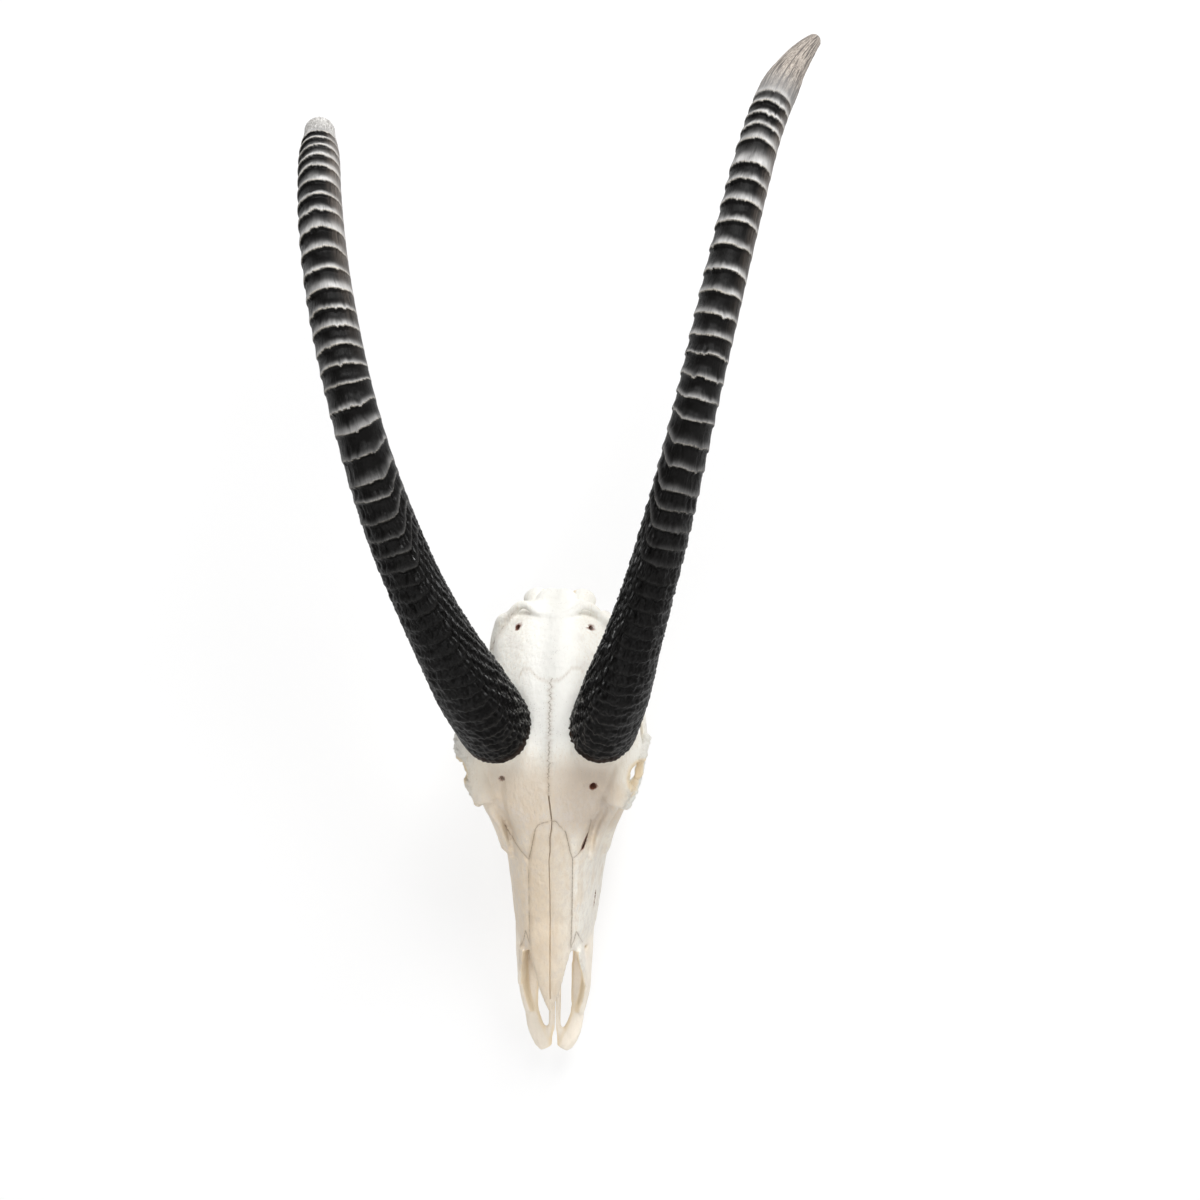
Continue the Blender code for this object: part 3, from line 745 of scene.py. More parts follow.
def add_tooth(name, side, kind, middle):
    """One cheek tooth, standing in its socket with the chewing face down."""
    length, width, lobes = TEETH[kind]
    x0 = side * float(blend_table(TOOTH_ROW_X, middle)[0])
    bpy.ops.object.select_all(action="DESELECT")
    bpy.ops.mesh.primitive_cylinder_add(vertices=CROWN_SIDES, radius=MM, depth=TOOTH_TOP * MM,
                                        location=place(x0, middle, TOOTH_TOP / 2))
    tooth = bpy.context.object
    tooth.name = name
    bpy.ops.object.transform_apply(location=True, rotation=True, scale=True)
    mesh = tooth.data
    for vert in mesh.vertices:
        near = (vert.co - ORIGIN) / MM
        angle = math.atan2(near.y - middle, side * (near.x - x0))
        x, y = crown_outline(angle, length, width, lobes)
        scale = 0.9 if near.z < 1 else 0.85
        vert.co = place(x0 + side * x * scale, middle + y * scale, near.z)
    bpy.ops.object.mode_set(mode="EDIT")
    bm = bmesh.from_edit_mesh(mesh)
    bm.select_mode = {"FACE"}
    for face in bm.faces:
        face.select_set(abs(face.normal.z) < 0.5)
    bm.select_flush_mode()
    sides = [f for f in bm.faces if f.select]
    uprights = [e for f in sides for e in f.edges if abs((e.verts[0].co - e.verts[1].co).z) > 0.01]
    bmesh.ops.subdivide_edges(bm, edges=list(set(uprights)), cuts=11, use_grid_fill=True)
    for vert in bm.verts:
        near = (vert.co - ORIGIN) / MM
        if 0.5 < near.z < TOOTH_TOP - 0.5:
            swell = 1 + 0.10 * math.sin(math.pi * min(near.z / SOCKET_START, 1) / 2)
            swell -= 0.05 * max(0, (near.z - SOCKET_START) / (TOOTH_TOP - SOCKET_START))
            swell += 0.010 * noise.noise(Vector((near.x, near.y, near.z)) * 0.35)
            base_scale = 0.9 + (0.85 - 0.9) * near.z / TOOTH_TOP
            goal = 0.9 * swell / base_scale
            vert.co = place(x0 + (near.x - x0) * goal, middle + (near.y - middle) * goal, near.z)
    for face in bm.faces:
        face.select_set(face.normal.z < -0.9 and face.calc_center_median().z < 0.002)
    bmesh.update_edit_mesh(mesh)
    bpy.ops.mesh.inset(thickness=ENAMEL_RIM * MM, depth=0, use_even_offset=False)
    bpy.ops.mesh.inset(thickness=0.35 * MM, depth=-0.7 * MM, use_even_offset=False)
    bpy.ops.object.mode_set(mode="OBJECT")
    for lobe in range(lobes):
        lobe_y = middle + (lobe - (lobes - 1) / 2) * length / lobes
        for reach in ((-0.02, 0.24) if lobes == 2 else (0.08,)):
            cut_pit(tooth, side, x0 + side * width * (reach - 0.08), lobe_y, length / lobes)
    return tooth


def cut_pit(tooth, side, x, y, length):
    """Take one crescent pit out of a chewing face; its horns point to the cheek."""
    bend = np.linspace(-1, 1, 15)
    reach, half = length * 0.30, 0.85 * np.cos(bend * math.pi / 2) ** 0.6 + 0.08
    turn = bend * math.radians(115)
    outer, inner = ([(x - side * radius * 0.8 * math.cos(a), y + radius * math.sin(a))
                     for radius, a in zip(radii, turn)] for radii in (reach + half, reach - half))
    bm = bmesh.new()
    skin(bm, [[(px, py, z) for px, py in outer + inner[::-1]] for z in (-1, 2.6)])
    pit = new_object("pit", bm)
    apply_modifier(tooth, "BOOLEAN", operation="DIFFERENCE", object=pit, solver="MANIFOLD")
    tooth.data.materials.clear()
    bpy.data.objects.remove(pit)


teeth, sockets = {}, []
for side, hand in ((-1, "left"), (1, "right")):
    reach = TOOTH_ROW_START
    for kind, (length, width, lobes) in TEETH.items():
        middle = reach + length / 2
        teeth[f"{kind}_{hand}"] = add_tooth(f"{kind}_{hand}_crown", side, kind, middle)
        sockets.append((side, middle, length, width, lobes))
        reach += length + TOOTH_GAP
print(len(teeth), "teeth, the last with", len(teeth["molar_3_right"].data.polygons), "faces")

# %% [markdown]
# Each crown stands in a socket with a hair of room around it, and the two points behind the ears
# are worn flat where the skull rests. Both are cut into the bone, as the horns' seats were.

# %% Sockets and resting points


def fill_sockets(bm):
    """Sockets a little wider than the crowns."""
    for side, middle, length, width, lobes in sockets:
        x0 = side * float(blend_table(TOOTH_ROW_X, middle)[0])
        rings = []
        for z in (SOCKET_START - 0.5, TOOTH_TOP + PART_GAP):
            ring = [crown_outline(a, length, width, lobes)
                    for a in np.linspace(0, 2 * math.pi, CROWN_SIDES, endpoint=False)]
            rings.append([(x0 + side * (x + 0.35 * math.copysign(1, x)), middle + y * (1 + 0.6 / length), z)
                          for x, y in ring])
        skin(bm, rings)


def fill_floor(bm):
    """A slab below the resting plane."""
    skin(bm, [[(x, y, z) for x, y in ((-60, 360), (60, 360), (60, 420), (-60, 420))] for z in (-20, 0)])


cut_sharp(bone, "socket_cutter", fill_sockets)
cut_sharp(bone, "floor_cutter", fill_floor)
bone.name = "skull_bone"
print("bone has", len(bone.data.polygons), "faces with its sockets")

# %% [markdown]
# A horn is a hollow sheath that grows at its base, a little each season. Every season leaves a
# ring that swells slowly and breaks off in a short step towards the base. Near the base, on the
# side towards the other horn, the rings turn up along the horn and break into rows of beads. The
# sheath starts as a flat grid that is rolled round its middle line, and the rings, beads, nicks
# and the worn tip are drawn on it point by point, because no bevel or extrusion follows them.

# %% Ring places and radii
CREST_PLACES = {
    "horn_left": [
        9, 17, 25, 33, 42, 51, 61, 71, 81, 91, 101, 112, 124, 136, 148, 160, 171, 183, 196, 208, 222,
        237, 249, 268, 287, 303, 320, 333, 347, 362, 376, 392, 410, 428, 447, 466, 483, 502, 521, 537,
        553, 568, 583,
    ],
    "horn_right": [
        9, 17, 25, 33, 43, 52, 61, 71, 79, 89, 101, 112, 121, 131, 142, 154, 165, 179, 192, 206, 220,
        233, 251, 267, 286, 301, 316, 333, 347, 363, 380, 397, 417, 436, 454, 472, 487, 509, 523, 536,
        548, 560,
    ],
}
RING_DEPTH = [(0, 0.6), (60, 0.9), (150, 1.7), (300, 2.6), (450, 2.8), (560, 2.3), (600, 1.5), (660, 1.0)]
EDGE_DEPTH = {"horn_left": 0.18, "horn_right": 0.42}
SWEEP_RISE = [(0, 30), (120, 30), (200, 22), (270, 9), (340, 0), (700, 0)]
BEADS = 36
HORN_SIDES = 150
HORN_ROWS = 655
FRONT_SHARE = 0.5


def angles_of(side):
    """Angles round a sheath, closest together on the front and on the inner side."""
    focus = math.radians(65 if side < 0 else 115)
    even = np.linspace(-math.pi, math.pi, 2001)
    spread = even + FRONT_SHARE * np.sin(even - focus) + math.pi + FRONT_SHARE * math.sin(focus)
    spread = spread / (2 * math.pi)
    return np.interp(np.linspace(0, 1, HORN_SIDES + 1), spread - spread[0], even)


def ring_fall(t, crests):
    """How far a place has sunk from the crest towards the next one: 0 at a crest, near 1 before the step."""
    places = np.array([crests[0] - 9 * k for k in range(5, 0, -1)] + crests + [crests[-1] + 40])
    k = np.clip(np.searchsorted(places, t, side="right") - 1, 0, len(places) - 2)
    return (t - places[k]) / (places[k + 1] - places[k]), k, places[k + 1] - places[k]


print({name: len(crests) for name, crests in CREST_PLACES.items()}, "crests")

# %% Roll the sheaths
STEP_LENGTH = 2.0
SHEATH_RADIUS = 24


def store(obj, name, values):
    """Keep a number or a vector for every point of a mesh."""
    values = np.asarray(values, np.float32)
    if values.shape[-1] == 3 and values.ndim == 2:
        obj.data.attributes.new(name, "FLOAT_VECTOR", "POINT").data.foreach_set("vector", values.ravel())
    else:
        obj.data.attributes.new(name, "FLOAT", "POINT").data.foreach_set("value", values.ravel())


def noise_round(angles, place_on, swirl, pitch, shift):
    """Noise at every angle round a sheath: more swirl is finer round it, less pitch finer along."""
    height = place_on / pitch + shift
    return np.array([noise.noise(Vector((math.cos(a) * swirl, math.sin(a) * swirl, height))) for a in angles])


def add_horn(name):
    """One sheath with its rings, as a closed mesh with places along and around it stored."""
    horn = HORNS[name]
    side = horn["side"]
    path = horn_path(horn)
    bpy.ops.object.select_all(action="DESELECT")
    bpy.ops.mesh.primitive_grid_add(x_subdivisions=HORN_SIDES, y_subdivisions=HORN_ROWS, size=1)
    obj = bpy.context.object
    obj.name = name + "_sheath"
    angles = angles_of(side)
    dome, end = horn["dome"], horn["end"]
    straight = np.linspace(0, end - dome, HORN_ROWS - 13)
    bend = np.linspace(0, math.pi / 2, 12)[1:]
    places = np.concatenate([[0, 0, 0], straight, end - dome + dome * np.sin(bend)])
    shares = np.concatenate([[0, 0.5, 0.97], np.ones(len(straight)), np.cos(bend)])
    shares[-1] = 0
    coords, pale_of, ridge_of, polished_of, shine_of = [], [], [], [], []
    strength = EDGE_DEPTH[name] + (1 - EDGE_DEPTH[name]) * smoothstep(-0.1, 0.8, np.sin(angles))
    polished = smoothstep(0.35, 0.95, np.cos(angles + math.radians(8)))
    towards_middle = np.degrees(np.abs(np.angle(np.exp(1j * (angles - (0 if side < 0 else math.pi))))))
    sweep = smoothstep(62, 12, towards_middle) * smoothstep(-0.75, -0.2, np.sin(angles))
    ring_reach = np.array([noise.noise(Vector((2.7 * k, side, 0.5))) for k in range(60)]) + 0.5
    for place_on, share in zip(places, shares):
        wave = noise_round(angles, place_on, 1.3, 21, 5 * side)
        fine = noise_round(angles, place_on, 7, 6, 3 * side)
        nick = noise_round(angles, place_on, 5, 11, 7 * side)
        rise = np.interp(place_on, [r[0] for r in SWEEP_RISE], [r[1] for r in SWEEP_RISE])
        t = place_on - rise * sweep + 1.8 * wave + (0.45 + 0.8 * smoothstep(200, 60, place_on)) * fine
        t = t + 2.8 * np.clip(nick - 0.15, 0, 1)
        fall, k, gap = ring_fall(t, CREST_PLACES[name])
        reach = 0.62 + 0.75 * ring_reach[k]
        step = STEP_LENGTH / gap
        sunk = smoothstep(0.0, 0.62, fall) * (1 - smoothstep(1 - step, 1, fall))
        depth = np.interp(place_on, [r[0] for r in RING_DEPTH], [r[1] for r in RING_DEPTH]) * strength
        depth = depth * (1 - 0.75 * polished * smoothstep(250, 380, place_on))
        depth = depth * (1 + 1.3 * nick * smoothstep(300, 160, place_on))
        woven = smoothstep(260, 150, place_on) * smoothstep(80, 40, towards_middle)
        phase = BEADS * angles + math.pi * k + 2.5 * wave + 1.5 * nick
        beads = np.cos(phase) * np.sin(math.pi * np.clip(fall, 0, 1)) ** 0.5
        last = CREST_PLACES[name][-1]
        fading = 1 - smoothstep(last + 2, last + 16, place_on)
        crumbs = noise_round(angles, place_on, 11, 2.2, 9 * side)
        shrink = depth * fading * sunk + 0.85 * woven * (1 - beads) * (1 + 0.9 * fine)
        shrink = shrink + 0.25 * fine * (smoothstep(last, last + 12, place_on) + 0.3)
        shrink = shrink + 0.95 * crumbs * smoothstep(330, 120, place_on)
        wide, deep = ((radius - shrink) * share for radius in radii_of(name, place_on))
        coords.append(horn_ring(horn, path, place_on, angles, wide, deep))
        # Pale marks the swell just above each step, where the grey of painted sheen and rubbing goes; ridge
        # marks the crest edge, where the painted highlight goes.
        pale = np.maximum(1 - smoothstep(0.0, reach, fall), smoothstep(1 - 1.0 / gap, 1, fall))
        ridge = np.maximum(1 - fall * gap / 2.2, 1 - (1 - fall) * gap / 1.2)
        pale_of.append(pale * fading + 1 - fading)
        ridge_of.append(np.clip(ridge, 0, 1) * fading)
        polished_of.append(polished * smoothstep(300, 420, place_on))
        shine_of.append(woven * smoothstep(0.55, 0.95, beads))
    write_mesh(obj, np.array(coords).reshape(-1, 3))
    round_x, round_y = SHEATH_RADIUS * np.cos(angles), SHEATH_RADIUS * np.sin(angles)
    strand = np.stack([np.tile(round_x, len(places)), np.tile(round_y, len(places)),
                       np.repeat(places, len(angles))], axis=1)
    store(obj, "strand", strand)
    store(obj, "pale", np.array(pale_of))
    store(obj, "ridge", np.array(ridge_of))
    store(obj, "polished", np.array(polished_of))
    store(obj, "shine", np.array(shine_of))
    bpy.ops.object.mode_set(mode="EDIT")
    bpy.ops.mesh.select_all(action="SELECT")
    bpy.ops.mesh.remove_doubles(threshold=0.002 * MM)
    bpy.ops.mesh.normals_make_consistent(inside=False)
    bpy.ops.object.mode_set(mode="OBJECT")
    bpy.ops.object.shade_smooth()
    return obj


sheaths = {name: add_horn(name) for name in HORNS}
for name, obj in sheaths.items():
    print(name, "sheath has", len(obj.data.polygons), "faces")

# %% [markdown]
# The bone's colour depends on what part of it one sees: the insides of the nose and the eye
# sockets stayed tan, the rims and the bone round the horns are crusty and pale. Both are stored as
# a number for every point, from its distance to the hollows and to the rims and seats.

# %% Where the bone is hollow or crusty
inner = BVHTree.FromObject(hollows, bpy.context.evaluated_depsgraph_get())
points, normals = read_mesh(bone)
to_hollow = np.array([inner.find_nearest(place(*map(float, p)), 0.006)[3] or 0.006 for p in points]) / MM
store(bone, "hollow", 1 - smoothstep(0.6, 3.0, to_hollow))


def seat_distance(points):
    """How far each point is from the nearer horn's edge, along the bone."""
    nearest = np.full(len(points), np.inf)
    for name in HORNS:
        ring = seat_ring(name, 0)
        nearest = np.minimum(nearest, distance_to_line(points, ring + ring[:1]))
    return nearest


crust = np.exp(-(rim_distance(points) / 7) ** 2) + 0.8 * np.exp(-(seat_distance(points) / 8) ** 2)
crust += 0.7 * np.exp(-(points[:, 0] / 8) ** 2) * smoothstep(258, 275, points[:, 1])
store(bone, "crust", np.clip(crust, 0, 1))

bm = bmesh.new()
fill_holes(bm)
hole_shapes = BVHTree.FromBMesh(bm)
bm.free()
to_hole = np.array([hole_shapes.find_nearest(place(*map(float, p)), 0.004)[3] or 0.004 for p in points]) / MM
store(bone, "deep", 1 - smoothstep(0.15, 0.7, to_hole))
bpy.data.objects.remove(hollows)
bpy.ops.object.select_all(action="DESELECT")
bone.select_set(True)
bpy.context.view_layer.objects.active = bone
bpy.ops.object.shade_smooth_by_angle(angle=math.radians(55))
print("stored the hollow and crust of", len(points), "points")

# %% [markdown]
# Every finish below is a net of nodes. A small helper adds a node and wires its inputs, so that
# each line reads like the sum or the mix that it makes.

# %% A helper for nodes


class Wiring:
    """Adds nodes to one tree, and wires sockets or plain values into them."""

    def __init__(self, tree):
        self.tree = tree

    def node(self, kind, values=(), **settings):
        """A node with its settings and inputs; the inputs go by place or by name."""
        made = self.tree.nodes.new("ShaderNode" + kind)
        for key, value in settings.items():
            setattr(made, key, value)
        for key, value in values.items() if isinstance(values, dict) else enumerate(values):
            if isinstance(value, bpy.types.NodeSocket):
                self.tree.links.new(value, made.inputs[key])
            else:
                made.inputs[key].default_value = value
        return made

    def math(self, operation, *values):
        """One sum on numbers."""
        return self.node("Math", values, operation=operation).outputs[0]

    def step(self, value, low, high):
        """0 below low, 1 above high, smooth between."""
        return self.node("MapRange", {"Value": value, "From Min": low, "From Max": high},
                         interpolation_type="SMOOTHSTEP").outputs[0]

    def mix(self, share, first, second, blend="MIX"):
        """Two colours mixed."""
        made = self.node("Mix", {0: share, 6: first, 7: second}, data_type="RGBA", blend_type=blend)
        return made.outputs[2]

    def stretch(self, vector, scale, shift=(0, 0, 0)):
        """A vector scaled and then moved."""
        return self.node("Mapping", {"Vector": vector, "Scale": scale, "Location": shift}).outputs[0]

    def cloud(self, vector, scale, detail=3.0, rough=0.55):
        """Smooth noise from about 0.2 to 0.8."""
        return self.node("TexNoise", {"Vector": vector, "Scale": scale, "Detail": detail,
                                      "Roughness": rough}).outputs[0]

    def curve(self, value, rows):
        """A number read off a smooth curve through rows of place and value."""
        rows = sorted(rows)
        low, high = rows[0][0], rows[-1][0]
        floor = min(r[1] for r in rows)
        span = max(r[1] for r in rows) - floor or 1
        made = self.node("FloatCurve", {"Value": self.step_line(value, low, high)})
        points = made.mapping.curves[0].points
        while len(points) < len(rows):
            points.new(0.5, 0.5)
        for point, (place_on, height) in zip(points, rows):
            point.location = ((place_on - low) / (high - low), (height - floor) / span)
        made.mapping.update()
        return self.math("MULTIPLY_ADD", made.outputs[0], span, floor)

    def step_line(self, value, low, high):
        """0 at low and 1 at high, on a straight line."""
        return self.node("MapRange", {"Value": value, "From Min": low, "From Max": high}).outputs[0]


def new_group(name, inputs, outputs):
    """An empty shader node group with its sockets, and the wiring to fill it."""
    group = bpy.data.node_groups.new(name, "ShaderNodeTree")
    for label, kind, value in inputs:
        socket = group.interface.new_socket(label, in_out="INPUT", socket_type="NodeSocket" + kind)
        if value is not None:
            socket.default_value = value
    for label, kind in outputs:
        group.interface.new_socket(label, in_out="OUTPUT", socket_type="NodeSocket" + kind)
    given = group.nodes.new("NodeGroupInput").outputs
    return group, Wiring(group), given, group.nodes.new("NodeGroupOutput").inputs


def new_material(name):
    """A material, its wiring and its shader."""
    material = bpy.data.materials.new(name)
    material.use_nodes = True
    return material, Wiring(material.node_tree), material.node_tree.nodes["Principled BSDF"]


# %% [markdown]
# Three effects are shared by the finishes. Grain is the fibre of bone, horn and enamel, seen as
# faint streaks. Pits are the small dark pores of old bone and worn horn. A seam is the crooked
# line where two bones of the skull meet: it takes the distance across and along the line, bends
# it with noise, and gives the line back as a mask.

# %% Shared effects
grain_group, net, given, out = new_group(
    "fibre_grain", [("Place", "Vector", None), ("Along", "Vector", (1, 1, 1)), ("Size", "Float", 1.0)],
    [("Streaks", "Float"), ("Clouds", "Float")])
stretched = net.node("VectorMath", (given["Place"], given["Along"]), operation="MULTIPLY").outputs[0]
net.tree.links.new(net.cloud(stretched, given["Size"], 4.0, 0.6), out["Streaks"])
net.tree.links.new(net.cloud(given["Place"], net.math("MULTIPLY", given["Size"], 0.12), 3.0), out["Clouds"])

pit_group, net, given, out = new_group(
    "small_pits", [("Place", "Vector", None), ("Size", "Float", 1.5), ("Amount", "Float", 0.3)],
    [("Pits", "Float")])
wobble = net.node("TexNoise", {"Vector": given["Place"], "Scale": 0.9}).outputs[1]
bent = net.node("VectorMath", (wobble, given["Place"]), operation="ADD").outputs[0]
cells = net.node("TexVoronoi", {"Vector": bent, "Scale": net.math("DIVIDE", 1.0, given["Size"])})
patches = net.cloud(given["Place"], 0.16, 2.0)
room = net.math("MULTIPLY", net.step(patches, 0.42, 0.66), given["Amount"])
net.tree.links.new(net.math("MULTIPLY", net.step(cells.outputs["Distance"], 0.34, 0.08), room), out["Pits"])

seam_group, net, given, out = new_group(
    "bone_seam",
    [("Across", "Float", 0.0), ("Along", "Float", 0.0), ("From", "Float", 0.0), ("To", "Float", 1.0),
     ("Width", "Float", 0.5), ("Crinkle", "Float", 0.5), ("Period", "Float", 3.0), ("Broken", "Float", 0.0)],
    [("Seam", "Float"), ("Shade", "Float")])
turns = net.math("DIVIDE", given["Along"], given["Period"])
ruler = net.node("CombineXYZ", {"X": turns, "Y": given["From"]}).outputs[0]
crook = net.math("SUBTRACT", net.cloud(ruler, 1.0, 2.0, 0.6), 0.5)
swing = net.math("MULTIPLY", net.math("MULTIPLY", crook, 3.2), given["Crinkle"])
gap = net.math("ABSOLUTE", net.math("ADD", given["Across"], swing))
line = net.math("SUBTRACT", 1.0, net.step(net.math("DIVIDE", gap, given["Width"]), 0.35, 1.0))
start = net.step(net.math("SUBTRACT", given["Along"], given["From"]), -1.5, 1.0)
end = net.step(net.math("SUBTRACT", given["To"], given["Along"]), -1.5, 1.0)
broken_off = net.math("MULTIPLY", given["Broken"], 0.62)
gaps = net.step(net.math("SUBTRACT", net.cloud(ruler, 0.6, 2.0), broken_off), -0.05, 0.12)
ends = net.math("MULTIPLY", start, end)
open_places = net.step(net.cloud(net.stretch(ruler, (2.6, 1, 1)), 1.0, 3.0), 0.35, 0.6)
line = net.math("MULTIPLY", line, net.math("MULTIPLY_ADD", open_places, 0.6, 0.4))
net.tree.links.new(net.math("MULTIPLY", net.math("MULTIPLY", line, gaps), ends), out["Seam"])
halo = net.math("SUBTRACT", 1.0, net.step(net.math("DIVIDE", gap, given["Width"]), 0.5, 6.0))
net.tree.links.new(net.math("MULTIPLY", halo, ends), out["Shade"])


def place_group(net, group, values):
    """A copy of a shared effect in a material, with its own values."""
    made = net.node("Group")
    made.node_tree = group
    for key, value in values.items():
        if isinstance(value, bpy.types.NodeSocket):
            net.tree.links.new(value, made.inputs[key])
        else:
            made.inputs[key].default_value = value
    return made.outputs


print("shared effects:", grain_group.name, pit_group.name, seam_group.name)

# %% [markdown]
# The bone's finish starts from a warm cream. The face is darker and warmer on its left half, partly
# in tone and partly as painted shade of the light from the right. The nape is painted nearly white,
# partly for its bleaching and partly as painted light. A near white is painted between the horns
# over their shade, and the sloping tips of the muzzle are painted lighter as painted light. The
# hollows are tan, and the crusty places are pitted. The seams are drawn where they run on a real
# skull: along the middle, round the back of the nasal bones, down their sides, from the eye socket
# to the nose, and across behind the horns.

# %% Finish of the bone
CREAM = (0.86, 0.80, 0.69, 1)
WARM = (0.72, 0.58, 0.42, 1)
PEACH = (0.84, 0.66, 0.46, 1)
CHALK = (0.93, 0.92, 0.86, 1)
TAN = (0.60, 0.42, 0.24, 1)
STRAW = (0.90, 0.74, 0.50, 1)
ASH = (0.66, 0.61, 0.57, 1)
SOIL = (0.42, 0.29, 0.17, 1)
STAIN = (0.15, 0.09, 0.05, 1)
RED_STAIN_AND_SHADE = (0.20, 0.055, 0.025, 1)
ROSE = (0.58, 0.49, 0.40, 1)
BUFF = (0.62, 0.50, 0.36, 1)
IVORY = (0.97, 0.88, 0.75, 1)
SNOW = (0.98, 0.97, 0.92, 1)
GROOVE = (0.20, 0.125, 0.07, 1)
SEAM_LINES = {
    # rows of place along and place across, from, to, width, crinkle, period, broken
    "midline_back": ("y", MIDLINE, 244, 341, 0.75, 2.6, 3.2, 0.6),
    "midline_front": ("y", MIDLINE, 190, 220, 0.5, 0.8, 2.5, 0.1),
    "nasal_side_left": ("y", [(110, -17.3), (150, -18.2), (186, -17.8)], 108, 187, 0.4, 0.35, 7.0, 0.7),
    "nasal_side_right": ("y", [(108, 18.0), (150, 19.0), (186, 19.4)], 106, 188, 0.6, 0.4, 6.0, 0.15),
    "nasal_back_left": ("y", [(186, -17.5), (197, -15), (203, -13.8), (213, -11.6)],
                        186, 213, 0.5, 0.35, 4.0, 0.3),
    "nasal_back_right": ("y", [(187, 19.2), (196, 17), (205, 15.2), (212, 13.6)],
                         187, 212, 0.5, 0.35, 4.0, 0.1),
    "nasal_arch": ("x", [(-12, 212.5), (-7, 218), (-2, 219.8), (4, 220.8), (9, 216.5), (14, 210.5)],
                   -12, 14, 0.5, 0.9, 2.4, 0.6),
    "cheek_line_left": ("y", [(186, -18.5), (196, -28), (207, -36), (215, -39.5)],
                        186, 214, 0.55, 0.3, 5.0, 0.1),
    "cheek_line_right": ("y", [(187, 19.5), (196, 27.6), (209, 32.2), (220, 35)],
                         187, 222, 0.5, 0.3, 4.0, 0.35),
    "lip_left": ("y", [(104, -27), (110, -24), (121, -21.5)], 103, 120, 0.45, 0.25, 4.0, 0.1),
    "lip_inner_left": ("y", [(109, -17.5), (113, -19), (121, -21.5)], 110, 120, 0.45, 0.3, 3.0, 0.1),
    "lip_right": ("y", [(96, 31), (108, 27), (121, 22.5)], 96, 120, 0.45, 0.25, 4.0, 0.1),
    "lip_inner_right": ("y", [(108, 18.5), (113, 20.5), (121, 22.5)], 108, 120, 0.5, 0.3, 3.0, 0.0),
    "behind_horns": ("x", [(-26, 341), (-20.9, 348.5), (-11.1, 341.5), (0.6, 339), (12.9, 344.1),
                           (20, 350), (27, 346)], -27, 27, 0.5, 2.6, 1.5, 0.97),
    "nape_side_left": ("y", [(362, -55.5), (384, -43), (402, -30)], 362, 400, 0.8, 0.7, 3.0, 0.8),
}

bone_look, net, shader = new_material("bleached_bone")
object_place = net.node("TexCoord").outputs["Object"]
ruler = net.stretch(object_place, (1 / MM,) * 3, tuple(-v / MM for v in ORIGIN))
split = net.node("SeparateXYZ", (ruler,)).outputs
x, y, z = split["X"], split["Y"], split["Z"]
hollow = net.node("Attribute", attribute_name="hollow").outputs["Fac"]
crust = net.node("Attribute", attribute_name="crust").outputs["Fac"]

fibres = place_group(net, grain_group, {"Place": ruler, "Along": (0.9, 0.07, 0.9), "Size": 0.9})
clouds = place_group(net, grain_group, {"Place": ruler, "Along": (1, 1, 1), "Size": 0.35})
pitted = net.math("ADD", 0.18, crust)
pits = place_group(net, pit_group, {"Place": ruler, "Size": 1.5, "Amount": pitted})["Pits"]

facing = net.node("SeparateXYZ", (net.node("NewGeometry").outputs["True Normal"],)).outputs
upper = net.math("MULTIPLY", net.step(z, 60, 85), net.step(facing["Z"], 0.15, 0.5))
seams, shades = None, None
for name, (axis, rows, start, end, width, crinkle, period, broken) in SEAM_LINES.items():
    along, across = (y, x) if axis == "y" else (x, y)
    off = net.math("SUBTRACT", across, net.curve(along, rows))
    seam = place_group(net, seam_group, {
        "Across": off, "Along": along, "From": float(start), "To": float(end),
        "Width": width, "Crinkle": crinkle, "Period": period, "Broken": broken})
    seams = seam["Seam"] if seams is None else net.math("MAXIMUM", seams, seam["Seam"])
    shades = seam["Shade"] if shades is None else net.math("MAXIMUM", shades, seam["Shade"])
seams = net.math("MULTIPLY", seams, upper)
shades = net.math("MULTIPLY", shades, upper)

# %% [markdown]
# Bleached bone isn't one colour. Masks that read the place on the skull pick out the brow, the face,
# the muzzle, the nape and the nasal bones, and each lays its own tone over the cream. Some of these
# tones are painted light and shade, each said where it is laid. Noise breaks the tones up, so that no
# edge of a mask shows.

# %% Tones of the bone
nape = net.step(y, 258, 292)
brow = net.math("MULTIPLY", net.step(y, 198, 222), net.step(y, 292, 262))
off_middle = net.math("ABSOLUTE", x)
brow = net.math("MULTIPLY", brow, net.step(off_middle, 66, 44))
face = net.step(y, 262, 226)
right = net.step(x, -4, 24)
colour = net.mix(net.math("MULTIPLY", net.step(clouds["Clouds"], 0.35, 0.7), 0.5), CREAM, WARM)
colour = net.mix(net.math("MULTIPLY", brow, net.math("MULTIPLY_ADD", right, 0.42, 0.5)), colour, ROSE)
# Painted light and shade: the muzzle's left half is warmed and darkened and its right half whitened, partly
# as tone and partly as the light from the right.
muzzle = net.step(y, 215, 165)
peachy = net.math("MULTIPLY", net.math("SUBTRACT", 1.0, right), 0.3)
colour = net.mix(net.math("MULTIPLY", muzzle, peachy), colour, PEACH)
colour = net.mix(net.math("MULTIPLY", muzzle, net.math("MULTIPLY", right, 0.55)), colour, CHALK)
veins = net.cloud(net.stretch(ruler, (0.11, 0.028, 0.08)), 1.0, 4.0, 0.6)
